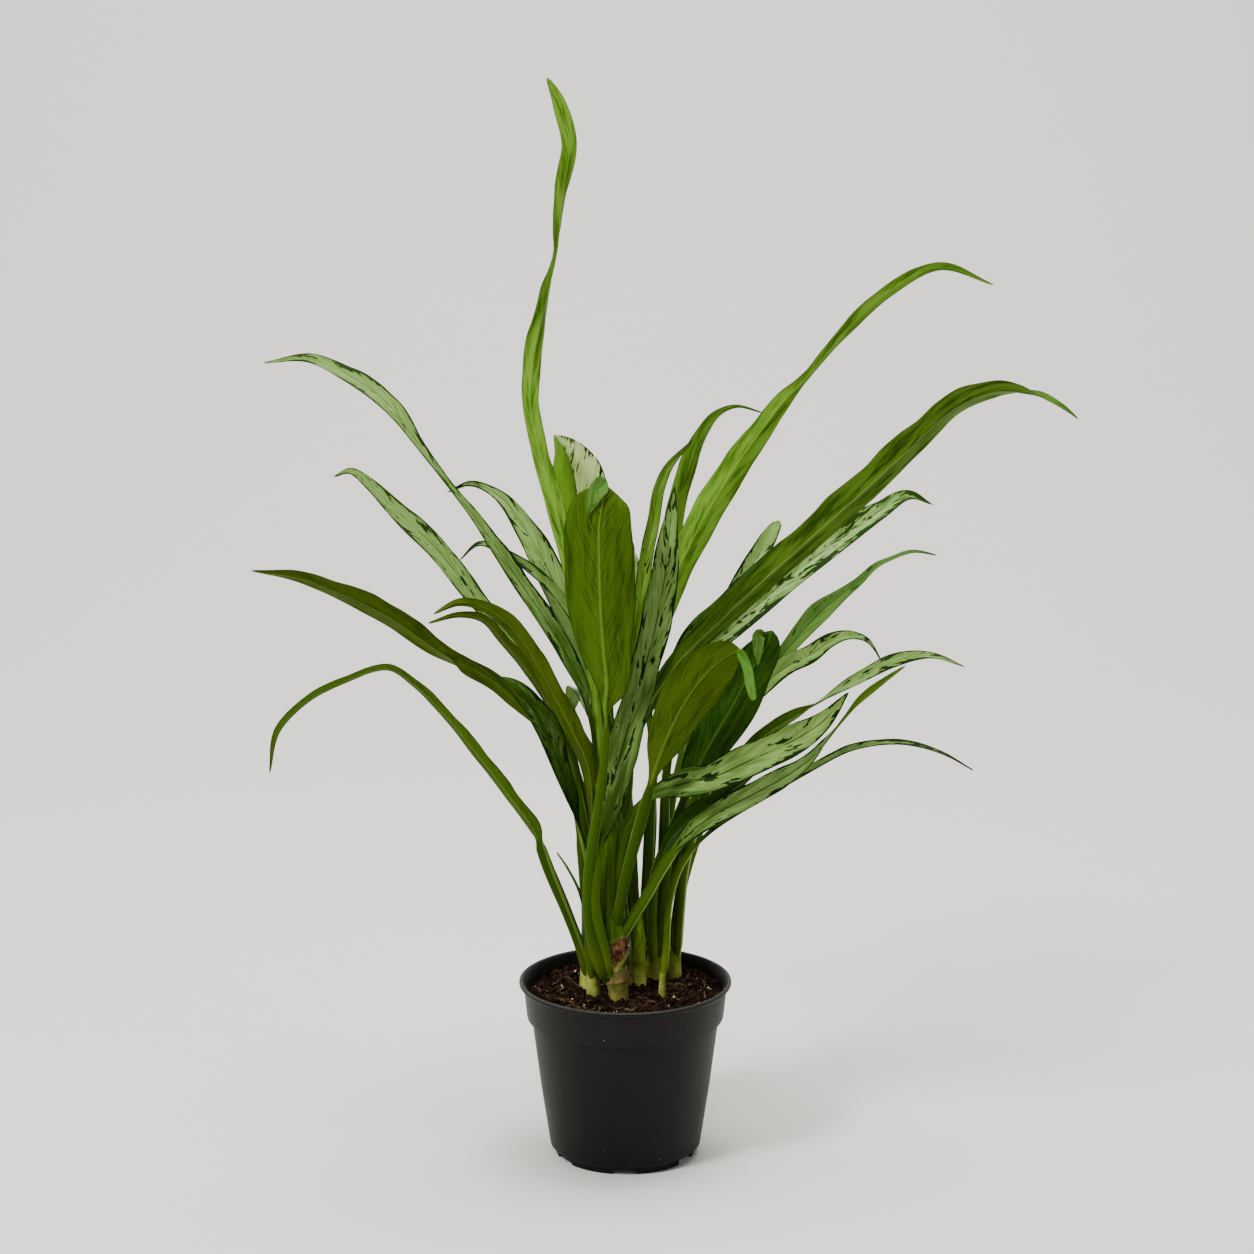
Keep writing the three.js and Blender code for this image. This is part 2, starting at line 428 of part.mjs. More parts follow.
function pot() {
  let solid = solidOf(lathe(potProfile(), POT_SEGMENTS));
  for (let i = 0; i < NOTCHES; i += 1) {
    const angle = (2 * Math.PI * i) / NOTCHES - Math.PI / 2;
    const notch = new THREE.BoxGeometry(2 * FOOT_WALL + 3, NOTCH_WIDTH, 2 * (FOOT_HEIGHT - 0.3));
    notch.translate(FOOT_RADIUS, 0, 0);
    notch.rotateZ(angle);
    solid = solid.subtract(solidOf(notch));
    const between = angle + Math.PI / NOTCHES;
    const ring = (PAD_RADIUS + FOOT_RADIUS - FOOT_WALL) / 2 + 0.5;
    const drain = rod(DRAIN_RADIUS, FOOT_HEIGHT - 1, FOOT_HEIGHT + FLOOR + 1, 12,
      ring * Math.cos(between), ring * Math.sin(between));
    solid = solid.subtract(solidOf(drain));
  }
  return outsideOf(solid);
}

// ---- soil

function soilLump(x, y) {
  const long = Math.sin(0.21 * x + 0.6) * Math.cos(0.17 * y - 0.4);
  const short = Math.sin(0.47 * x - 0.39 * y) * Math.cos(0.36 * x + 0.52 * y);
  return SOIL_LUMP * (0.6 * long + 0.6 * short);
}

function soilRadius(z) {
  const low = BODY_RADIUS_LOW - WALL;
  const high = BODY_RADIUS_TOP - WALL;
  const bottom = FOOT_HEIGHT + FLOOR;
  const step = COLLAR_BOTTOM - 0.5;
  if (z <= step) return low + ((high - low) * (z - bottom)) / (step - bottom) - SOIL_GAP;
  return COLLAR_RADIUS_LOW - WALL - SOIL_GAP;
}

function soil() {
  const channel = FOOT_HEIGHT + FLOOR + SOIL_GAP;
  const step = COLLAR_BOTTOM - 0.5;
  const profile = [[0, FLOOR + SOIL_GAP], [PAD_RADIUS - 2.2, FLOOR + SOIL_GAP], [PAD_RADIUS - 1, channel],
    [soilRadius(channel), channel], [soilRadius(step), step], [soilRadius(POT_HEIGHT), COLLAR_BOTTOM + 2.5]];
  for (let i = SOIL_RINGS; i >= 0; i -= 1) {
    profile.push([(soilRadius(POT_HEIGHT) * i) / SOIL_RINGS, SOIL_TOP]);
  }
  const body = lathe(profile, POT_SEGMENTS);
  const place = body.attributes.position;
  for (let i = 0; i < place.count; i += 1) {
    if (place.getZ(i) > SOIL_TOP - 0.1) place.setZ(i, SOIL_TOP + soilLump(place.getX(i), place.getY(i)));
  }
  let solid = solidOf(body);
  for (const { cane: [[x, y, , radius], above] } of SHOOTS) {
    const hole = rod(Math.max(radius, above[3]) + HOLE_GAP, HOLE_BOTTOM, POT_HEIGHT, 2 * STEM_SIDES, x, y);
    solid = solid.subtract(solidOf(hole));
  }
  return outsideOf(solid);
}

// ---- the plant in its pot

function part(name, geometry, finish) {
  const mesh = new THREE.Mesh(geometry, new THREE.MeshStandardMaterial(finish));
  mesh.name = name;
  return mesh;
}

const plant = new THREE.Group();
plant.add(part('pot', pot(), COLOURS.pot));
plant.add(part('soil', soil(), COLOURS.soil));
for (const one of SHOOTS) {
  plant.add(part(one.name, shoot(one), COLOURS.leaf));
}

export default plant;
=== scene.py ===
"""The looks of a potted Chinese evergreen with narrow leaves, dressed over its solids.

The stem and leaf stations are the part's own, in millimetres: the origin is the middle of the pot's
underside, +Z is up and -Y is the front.
"""
import math
import random
from collections import namedtuple

import bmesh
import bpy
import numpy as np
from mathutils import Euler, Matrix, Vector, noise


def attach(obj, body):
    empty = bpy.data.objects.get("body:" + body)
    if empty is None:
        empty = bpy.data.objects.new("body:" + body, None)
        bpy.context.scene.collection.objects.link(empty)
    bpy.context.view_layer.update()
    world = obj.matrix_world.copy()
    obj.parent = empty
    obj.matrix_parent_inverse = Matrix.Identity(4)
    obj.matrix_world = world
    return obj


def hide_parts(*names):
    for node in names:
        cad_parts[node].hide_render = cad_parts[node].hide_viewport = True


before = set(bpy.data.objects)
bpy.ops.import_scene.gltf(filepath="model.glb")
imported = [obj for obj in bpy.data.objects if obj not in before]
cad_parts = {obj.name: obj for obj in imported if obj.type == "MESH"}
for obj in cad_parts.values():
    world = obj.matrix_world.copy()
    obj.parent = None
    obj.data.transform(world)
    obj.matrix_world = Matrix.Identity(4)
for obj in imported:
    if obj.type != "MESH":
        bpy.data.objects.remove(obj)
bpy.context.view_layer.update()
MM = 0.001
SEED = 7

# Camera: it looks a little down at the plant. Its place is in metres, its lens and sensor in mm.
CAMERA_PLACE = (0.00096, -1.874, 0.735)
CAMERA_DOWN = math.radians(12.9)
LENS = 100
SENSOR = 36

# Pot
POT_HEIGHT = 102
RIM_RADIUS = 60
RIM_ROLL = 2.4
COLLAR_BOTTOM = 80
COLLAR_RADIUS_LOW = 55.7
COLLAR_RADIUS_HIGH = 57.2
BODY_RADIUS_TOP = 52.9
BODY_RADIUS_LOW = 42.6
FOOT_HEIGHT = 4.5
FOOT_RADIUS = 39.7
FOOT_WALL = 2.6
WALL = 1.6
PAD_RADIUS = 25
FLOOR = 2
CHANNEL = FOOT_HEIGHT + FLOOR
NOTCHES = 6
NOTCH_WIDTH = 15
DRAIN_RADIUS = 3
DRAIN_STEPS = 32
POT_STEPS = 240
POT_SHARP = math.radians(35)
# A painted highlight lies grey along the rim's top between these heights.
RIM_HIGHLIGHT_BAND = (POT_HEIGHT - 1, POT_HEIGHT - 0.4)

# Soil
SOIL_TOP = 94
SOIL_BOTTOM = CHANNEL + 1
SOIL_RADIUS = 55
SOIL_STEPS = 160
SOIL_RINGS = 46
CRUMBS = 1500
CHIPS = 170
LITTER_RADIUS = 54
FIBRES = 150
FIBRE_RADIUS = 47
FIBRE_STEP = 1.6

# Main cane: its pale foot ends at PALE_TOP, a tan ring runs from TAN_BOTTOM to TAN_TOP, and the brown V
# at its front from V_FOOT to V_TOP. V_MIDDLE is where the V is lowest, 0 in front and 1 at the right.
V_FOOT = 114
V_TOP = 128
V_MIDDLE = 0.15
TAN_BOTTOM = 103.5
TAN_TOP = V_FOOT - 1
PALE_TOP = 105
CANE_STEP = 0.6
CANE_COLUMNS = 72
CANE_CLOSE = 8

# Other stems
STEM_STEP = 1
STEM_COLUMNS = 28
STEM_CLOSE = 6
STEM_JOINTS = 3
JOINT_STEP = 8

# Leaves. A blade's fold is FOLD_GAIN times the station table's up to STEEP_FOLD, and its width is
# SLIM times. Ripple, wave and droop are shares of half the width; skins are half thicknesses in mm.
STALK_RADIUS = 2.1
STALK_START = 12
LEAF_STEP = 2.4
STEPS_ACROSS = 6
LEAF_COLUMNS = 10
COLUMN_CROWDING = 1.25
SLIM = 0.96
LEAST_HALF = 0.3
BLUNT_SHARE = 0.6
LEAST_BLUNT = 0.5
LEAN_LENGTH = 0.3
FOLD_GAIN = 2
STEEP_FOLD = 24
FOLD_SOFTNESS = 0.02
DROOP = 0.1
RIPPLE = 0.07
RIPPLE_LENGTH = (30, 44)
RIPPLE_WIDTHS = (1.5, 2.2)
SMALL_RIPPLE = 0.2
SMALL_RIPPLE_LENGTH = 0.43
MARGIN_WAVE = 0.035
SKIN = 0.05
EDGE_SKIN = 0.1
UPPER_SKIN = 0.12
UNDER_SKIN = 0.16
MARGIN_OFFSET = 0.15
RIB_RADIUS = 1.5
RIB_TAPER = 0.7
RIB_HEIGHT = 0.75
RIB_GROOVE = 0.3
WIDE_LEAF = 36
VEIN_SLANT = math.radians(15)
VEIN_SPACING = 0.36
LEAST_SPACING = 5
VEIN_OFFSET = 0.37
FLECK_WIDTH = 1.5
FLECK_LENGTH = 9
GRAIN_APART = 9.7
FRONT = (0, -1, 0)
RIGHT = (1, 0, 0)

# Each stem is a list of x, y, z, radius.
STEMS = {
    "shoot_main": [
        (-4, -10, 72.4, 6.4), (-4, -10, 98, 6.8), (-6, -9.5, 112, 6.4), (-7, -9, 126, 7.4),
        (-8, -8, 150, 7.2), (-7.5, -7.5, 178, 7.2), (-7, -7, 194, 6), (-6, -6, 207, 3.5),
    ],
    "shoot_left": [(-18, -4, 72.4, 3.4), (-18, -4, 100, 3.6), (-19, -4, 122, 3.2), (-20, -4, 142, 2.2)],
    "shoot_far_left": [(-22, 8, 72.4, 3.4), (-22, 8, 100, 3.6), (-22, 9, 118, 2.6)],
    "shoot_back": [(7, 14, 72.4, 4.6), (7, 14, 100, 4.8), (7, 16, 120, 4.4), (6, 19, 140, 2.8)],
    "shoot_right": [(17, 25, 72.4, 4.8), (17, 25, 100, 5), (18, 26, 116, 3.6)],
    "shoot_far_right": [(28, 26, 72.4, 3.8), (28, 26, 100, 4), (29, 26, 116, 2.8)],
    "shoot_sprout": [(21, -9, 72.4, 1.7), (21, -9, 104, 1.8), (22, -9, 112, 1.5)],
}

LEAVES = []


def leaf(name, node, look, fold, turn, route, stalk=STALK_RADIUS, zero=FRONT, foot=1.0, lean=0.0,
         sheath=0.0):
    """Adds a leaf. Its stations are x, y, z, flat width and turn in degrees.

    At turn 0 the upper side faces zero. A station leaves out a width or turn that stays as it was:
    the first ones are 0 and the leaf's own turn. foot stretches the dark foot of the upper side,
    which is partly painted shade, lean sets the rib off the blade's middle there, and sheath swells
    the base of the stalk.
    """
    rows, kept = [], [0, turn]
    for station in route:
        kept[:len(station) - 3] = station[3:]
        rows.append([*station[:3], *kept])
    LEAVES.append({"name": name, "node": node, "look": look, "fold": fold, "stalk": stalk, "zero": zero,
                   "foot": foot, "lean": lean, "sheath": sheath, "route": rows})


leaf("front", "shoot_main", "olive", 8, 180, [
    (-10, -11, 102), (-13, -15, 114), (-17.5, -18, 130), (-20.5, -20, 147), (-19.5, -24, 176),
    (-17, -28, 195), (-14.5, -31, 214), (-12, -33, 233), (-10.5, -34, 252), (-10.3, -35, 264, 3),
    (-9.5, -35.5, 271, 8), (-7.5, -36, 279, 18), (-8, -37, 290, 25), (-10, -38, 301, 30),
    (-13, -41, 327, 39), (-14, -43, 353, 42), (-14, -44, 372, 39), (-12, -42, 385, 30),
    (-10, -38, 392, 14)
], lean=0.5, sheath=0.8)
leaf("lance", "shoot_main", "muted", 12, 0, [
    (-9, -14, 106), (-12, -18, 125), (-17, -21, 152), (-16, -23, 178), (-13, -24, 196, 12),
    (-8, -25, 219, 21), (0, -26, 249, 20), (8, -26, 279, 18), (16, -25, 310, 19, -5),
    (21, -21, 337, 18, -10), (24, -14, 363, 11), (27, -6, 386, 1)
], foot=1.4)
leaf("spoon", "shoot_main", "moss", 8, 180, [
    (-6, -11, 132), (-3, -17, 150), (1, -23, 172), (7, -28, 196), (12, -32, 217), (16, -35, 233, 7),
    (21, -39, 249, 21), (30, -45, 271, 29), (41, -50, 289, 31), (50, -53, 299, 27), (57, -55, 304, 18),
    (62, -56, 306, 7)
])
leaf("spoon_tip", "shoot_main", "sheen", 10, 0, [
    (58, -55, 305), (61, -57, 305, 5), (65, -59, 298, 6), (67, -60, 288), (69, -60, 279, 4)
], stalk=0.8)
leaf("wide_right", "shoot_main", "muted", 10, -20, [
    (-6, -10, 134), (-3, -13, 154), (-2, -17, 177), (4, -19, 203), (15, -22, 216, 7), (30, -26, 223, 16),
    (49, -31, 229, 19, -25), (69, -36, 240, 20), (90, -40, 251, 19), (107, -43, 263, 12),
    (121, -45, 280, 1)
], foot=1.3)
leaf("low_right", "shoot_main", "silver", 12, -30, [
    (-4, -10, 126), (3, -13, 140), (12, -16, 156), (22, -18, 175), (35, -20, 193, 10),
    (51, -23, 206, 14), (69, -26, 217, 15), (87, -29, 228, 13, -35), (102, -31, 240, 9, -60),
    (118, -33, 261, 6, -110), (133, -35, 278, 6, -150), (152, -38, 293, 1, -160)
])
leaf("tall", "shoot_main", "bright", 16, 180, [
    (-8, -7, 140), (-10, -6, 172), (-12, -4, 208), (-15, -2, 253, 5), (-21, 2, 298, 8),
    (-30, 8, 336, 10), (-38, 14, 369, 12, 175), (-46, 20, 396, 11, 170), (-52, 26, 425, 11, 165),
    (-51, 33, 452, 12, 200), (-45, 41, 482, 13, 240), (-39, 48, 508, 12, 262), (-36, 54, 538, 11, 225),
    (-31, 58, 565, 10, 190), (-36, 60, 587, 9, 180), (-43, 60, 602, 2)
])
leaf("right_tall", "shoot_main", "bright", 10, 180, [
    (-5, -6, 140), (-3, -4, 167), (0, -3, 207), (6, 1, 251, 6), (16, 8, 295, 12), (29, 16, 334, 17),
    (44, 24, 363, 19), (59, 31, 387, 18, 182), (73, 37, 406, 15, 185), (88, 44, 425, 11, 190),
    (103, 52, 440, 7, 220), (123, 61, 462, 10, 215), (148, 72, 483, 9, 200), (177, 84, 495, 6),
    (209, 96, 483, 1)
])
leaf("big_right", "shoot_main", "deep", 16, 200, [
    (-4, -3, 140), (-1, 1, 172), (1, 5, 212), (8, 11, 248, 7), (28, 15, 281, 13), (57, 18, 311, 19),
    (93, 22, 344, 21), (128, 27, 375, 23, 202), (148, 31, 393, 23, 206), (161, 34, 405, 23, 212),
    (178, 38, 420, 22, 218), (192, 40, 428, 21, 222), (207, 42, 432, 18, 224), (218, 44, 431, 13, 235),
    (231, 46, 428, 9, 285), (243, 48, 422, 8, 290), (253, 50, 414, 1)
])
leaf("flecked", "shoot_main", "flecked", 12, -20, [
    (-6, -3, 140), (-3, 5, 171), (0, 13, 210), (13, 23, 252, 5), (36, 31, 277, 10),
    (63, 40, 299, 16, -25), (92, 50, 323, 18, -30), (120, 60, 343, 18, -35), (144, 68, 358, 14, -40),
    (161, 73, 366, 8, -50), (175, 76, 360, 1, -60)
])

leaf("long_left", "shoot_left", "moss", 12, 140, [
    (-18, -5, 100), (-20, -7, 124), (-22, -9, 154), (-24, -11, 181, 0, 110), (-28, -14, 206, 9, 60),
    (-35, -18, 230, 14, 40), (-44, -24, 257, 18), (-58, -32, 277, 15, 60), (-77, -43, 290, 11, 125),
    (-101, -57, 307, 13, 160), (-124, -72, 328, 16), (-147, -88, 344, 14, 155),
    (-170, -102, 356, 9, 150), (-193, -115, 362, 1)
], foot=1.6)
leaf("long_left_lap", "shoot_left", "moss", 6, 165, [
    (-97, -57, 304), (-86, -50, 296, 9), (-72, -43, 286, 10), (-60, -37, 273, 8), (-51, -32, 260, 1)
], stalk=0.8)
leaf("olive_left", "shoot_left", "moss", 12, 160, [
    (-18, -4, 114), (-19, -2, 147), (-19, -3, 179), (-18, -8, 205, 7), (-20, -15, 231, 13),
    (-29, -25, 255, 14), (-39, -36, 278, 13), (-49, -43, 299, 12), (-60, -50, 317),
    (-73, -57, 329, 8, 170), (-88, -64, 334, 5, 180), (-102, -71, 329, 1)
])
leaf("olive_left_low", "shoot_left", "moss", 10, 150, [
    (-19, -3, 118), (-21, 0, 160), (-24, 0, 196), (-31, -4, 235, 5), (-42, -10, 266, 8),
    (-54, -17, 287, 9), (-66, -25, 304, 8), (-77, -33, 318, 6, 160), (-90, -41, 322, 4, 170),
    (-106, -49, 319, 1, 180)
])
leaf("small_spear", "shoot_left", "bright", 20, 90, [
    (-19, -6, 112), (-20, -9, 128, 0, 70), (-22, -13, 143, 3, 60), (-26, -15, 159), (-32, -17, 172, 2),
    (-38, -19, 182, 1)
], stalk=1.2)

leaf("arching_left", "shoot_far_left", "olive", 14, 120, [
    (-21, 7, 98), (-24, 5, 114), (-33, 2, 141), (-43, -1, 167, 0, 130), (-47, -2, 179, 0, 140),
    (-50, -3, 190, 9, 150), (-64, -7, 212, 10), (-82, -12, 238), (-99, -17, 261, 8), (-115, -22, 279, 7),
    (-129, -26, 289, 6, 145), (-153, -30, 283), (-176, -34, 271), (-190, -37, 255, 5, 140),
    (-194, -39, 233, 1)
])
leaf("silver_left", "shoot_far_left", "silver", 10, 30, [
    (-22, 9, 104), (-22, 11, 151), (-23, 14, 191), (-31, 18, 231), (-47, 24, 267, 6), (-68, 30, 296, 10),
    (-87, 37, 318, 13), (-105, 44, 340, 14), (-125, 51, 358, 13), (-144, 58, 375, 8, 40),
    (-155, 62, 382, 5, 45), (-165, 65, 378, 1, 50)
])
leaf("upper_left", "shoot_far_left", "silver", 12, 20, [
    (-21, 9, 104), (-18, 14, 150), (-16, 18, 190), (-16, 21, 219), (-21, 22, 259, 7), (-32, 22, 284, 11),
    (-44, 22, 305, 12, 25), (-58, 22, 326, 12, 30), (-71, 22, 346, 11, 40), (-87, 24, 368, 7, 50),
    (-104, 28, 389, 6, 55), (-116, 33, 405, 9, 50), (-131, 39, 424, 13, 40), (-152, 47, 438, 12),
    (-177, 56, 447, 7, 45), (-203, 65, 443, 1, 50)
])
leaf("rear_left", "shoot_far_left", "silver", 12, 30, [
    (-22, 10, 106), (-21, 20, 150), (-23, 30, 195), (-34, 40, 235, 4), (-48, 50, 261, 8),
    (-69, 70, 285, 10), (-89, 88, 306, 10, 35), (-109, 104, 326, 9, 40), (-126, 117, 341, 5, 45),
    (-135, 124, 347, 1, 50)
])

leaf("broad_left", "shoot_back", "silver", 12, 30, [
    (7, 15, 104), (4, 20, 149), (-1, 25, 195), (-8, 29, 229, 6), (-19, 33, 266, 15, 25),
    (-28, 37, 295, 19, 20), (-38, 41, 318), (-47, 46, 336, 18), (-57, 51, 352, 14),
    (-66, 56, 364, 10, 25), (-76, 61, 371, 6, 35), (-88, 66, 374, 4), (-101, 71, 368, 1, 40)
])
leaf("thin_left", "shoot_back", "muted", 14, 30, [
    (6, 13, 106), (3, 15, 140), (0, 17, 175), (-4, 19, 208), (-12, 21, 253, 4), (-23, 26, 292, 6),
    (-35, 30, 314, 7), (-51, 34, 330), (-66, 38, 339, 6, 35), (-82, 43, 344, 4, 50), (-93, 47, 334, 1, 60)
], stalk=1.4)
leaf("folded_back", "shoot_back", "pale", 56, 68, [
    (6, 16, 108), (3, 24, 150), (-3, 32, 205), (-9, 42, 260, 3), (-16, 51, 303, 20), (-20, 55, 333, 50),
    (-24, 58, 355, 72), (-27, 60, 371, 74), (-30, 62, 384, 63), (-34, 64, 394, 37), (-40, 66, 402, 3)
])
leaf("silver_mid", "shoot_back", "bright", 12, 10, [
    (7, 17, 108), (4, 28, 160), (1, 34, 205), (0, 38, 245), (4, 41, 281, 5), (9, 43, 315, 9),
    (13, 45, 343), (16, 47, 357, 8), (19, 49, 374, 8, 15), (24, 51, 386, 6, 20), (38, 56, 401, 1, 30)
])
leaf("bent_mid", "shoot_back", "bright", 14, 180, [
    (8, 18, 110), (2, 34, 160), (-3, 44, 210), (3, 50, 255), (15, 54, 300, 7, 185),
    (25, 58, 338, 12, 190), (30, 61, 367, 13, 200), (35, 63, 383, 13, 205), (41, 66, 399, 11, 210),
    (50, 71, 411, 9, 225), (63, 79, 416, 6, 240), (78, 88, 411, 1, 245)
])
leaf("slim_right", "shoot_back", "dusky", 12, -20, [
    (8, 16, 108), (12, 24, 150), (15, 33, 200), (20, 40, 244), (33, 48, 284, 10), (59, 56, 309, 12, -25),
    (82, 63, 331, 9, -30), (104, 69, 351, 1)
])
leaf("rear_mid", "shoot_back", "silver", 14, -90, [
    (9, 17, 108), (12, 28, 140), (15, 42, 185), (14, 58, 235, 4), (8, 83, 285, 12), (0, 114, 314, 19),
    (-4, 150, 322), (-5, 184, 308, 12), (-4, 210, 280, 1)
], zero=RIGHT)
leaf("rear_top", "shoot_back", "silver", 14, -90, [
    (6, 19, 112), (3, 36, 150), (-4, 52, 200), (-9, 64, 255, 4), (-12, 76, 305, 13), (-13, 90, 334, 19),
    (-12, 108, 350, 18), (-9, 130, 350, 11), (-6, 150, 336, 1)
], zero=RIGHT)
leaf("rear_low_left", "shoot_back", "silver", 14, -90, [
    (5, 18, 110), (2, 30, 130), (-5, 56, 178), (-12, 84, 214, 6), (-20, 114, 234, 14),
    (-27, 144, 236, 16), (-32, 170, 222, 11), (-35, 190, 202, 1)
], zero=RIGHT)

leaf("dark_right", "shoot_right", "dark", 10, 180, [
    (18, 24, 102), (21, 19, 145), (25, 12, 178), (31, 5, 200), (38, -3, 222, 17), (48, -12, 245, 27),
    (59, -19, 267, 31), (69, -24, 288, 27), (76, -26, 300, 20), (80, -27, 310, 8)
])
leaf("dark_tip", "shoot_right", "sage", 10, 0, [
    (77, -27, 308), (73, -31, 309, 7), (72, -33, 302), (72, -33, 291, 1)
], stalk=0.8)
leaf("dark_low", "shoot_right", "dark", 12, -150, [
    (16, 24, 101), (15, 14, 134), (17, 5, 163), (24, -2, 184, 10), (36, -8, 199, 15), (50, -12, 210),
    (63, -16, 221, 9), (75, -20, 231, 1)
])
leaf("short_right", "shoot_right", "silver", 12, -10, [
    (18, 26, 102), (21, 34, 136), (22, 44, 170), (25, 58, 217), (39, 70, 260, 7), (55, 80, 292, 11, -12),
    (70, 88, 317, 13, -15), (81, 96, 334, 12, -20), (89, 104, 345, 7, -50)
])
leaf("sage_right", "shoot_right", "sage", 12, -30, [
    (20, 25, 102), (22, 26, 140), (29, 28, 169), (42, 31, 204), (61, 35, 243, 4), (78, 36, 268, 7),
    (93, 37, 287, 11), (102, 40, 297, 13), (111, 43, 306, 14), (122, 46, 314, 9, -32),
    (132, 49, 321, 6, -38), (141, 52, 329, 5, -50), (150, 55, 333, 4, -60), (163, 60, 336, 3),
    (177, 64, 333, 1)
])
leaf("rear_low_right", "shoot_right", "silver", 14, -90, [
    (17, 27, 102), (20, 42, 146), (27, 64, 190), (36, 90, 222, 7), (47, 119, 240, 16),
    (57, 148, 243, 18), (64, 176, 232, 13), (68, 198, 212, 1)
], zero=RIGHT)

leaf("flecked_small", "shoot_far_right", "muted", 12, -30, [
    (29, 25, 104), (31, 22, 135), (34, 19, 166), (44, 15, 202), (61, 11, 249, 6), (77, 7, 271, 12),
    (90, 4, 283), (102, 1, 290, 13, -35), (114, -2, 299, 10, -45), (124, -4, 302, 7, -55),
    (133, -6, 300, 5, -60), (141, -9, 289, 1, -70)
])
leaf("twist_right", "shoot_far_right", "muted", 12, -100, [
    (28, 27, 102), (30, 28, 135), (37, 25, 168), (48, 18, 200, 0, -120), (62, 8, 227, 5, -150),
    (78, -2, 246, 10, -160), (94, -10, 259, 10, -140), (109, -16, 269, 6, -90), (126, -21, 281, 9, -50),
    (147, -26, 293, 10), (167, -31, 297, 6, -60), (184, -36, 292, 1, -70)
])
leaf("rear_right", "shoot_far_right", "silver", 12, -30, [
    (29, 28, 104), (33, 38, 155), (36, 56, 213), (39, 72, 248, 3), (48, 92, 277, 8), (66, 110, 298, 11),
    (96, 122, 322), (123, 140, 341, 9, -35), (144, 152, 354, 5, -40), (157, 160, 359, 1)
])

leaf("low_arc", "shoot_sprout", "muted", 14, -30, [
    (21, -9, 104), (23, -9, 122), (25, -7, 151), (32, -5, 172), (48, -7, 191, 3, -40),
    (73, -12, 210, 5, -50), (99, -18, 228, 6, -55), (123, -25, 243, 6, -60), (147, -33, 249, 5),
    (170, -41, 246, 4, -70), (189, -48, 237, 1, -80)
], stalk=1.4)


# The curled tip of the front leaf, folded back over it: a detail that the solids leave out.
leaf("front_tip", "shoot_main", "sheen", 10, 15, [
    (-20, -47, 376), (-19, -47, 381, 4), (-17, -48, 386, 8), (-15, -47, 391, 11), (-12, -45, 394, 12),
    (-10, -42, 396, 7)
], stalk=0.4)


# ---- materials

def srgb(red, green, blue):
    """A colour from its 0 to 255 screen values."""
    def linear(value):
        value /= 255
        return value / 12.92 if value <= 0.04045 else ((value + 0.055) / 1.055) ** 2.4
    return (linear(red), linear(green), linear(blue), 1)


def dimmed(colour, share):
    """A share of a screen colour."""
    return tuple(share * value for value in colour)


class Value:
    """The output of a material's node, which sums and steps can be made from."""

    def __init__(self, recipe, socket):
        self.recipe = recipe
        self.socket = socket

    def math(self, operation, other=0.0):
        return self.recipe.value("Math", 0, {0: self, 1: other}, operation=operation)

    def __add__(self, other):
        return self.math("ADD", other)

    def __sub__(self, other):
        return self.math("SUBTRACT", other)

    def __rsub__(self, other):
        return self.recipe.value("Math", 0, {0: other, 1: self}, operation="SUBTRACT")

    def __mul__(self, other):
        return self.math("MULTIPLY", other)

    def most(self, other):
        return self.math("MAXIMUM", other)

    def step(self, low, high):
        """0 below low and 1 above high, with a smooth rise between them."""
        return self.recipe.value("MapRange", "Result", {"Value": self, "From Min": low, "From Max": high},
                                 interpolation_type="SMOOTHSTEP")

    def fall(self, low, high):
        """1 below low and 0 above high."""
        return 1 - self.step(low, high)

    def spread(self, low, high, start=0.0, end=1.0):
        """From low to high in a straight line, as the value goes from start to end."""
        return self.recipe.value("MapRange", "Result", {"Value": self, "From Min": start, "From Max": end,
                                                        "To Min": low, "To Max": high})


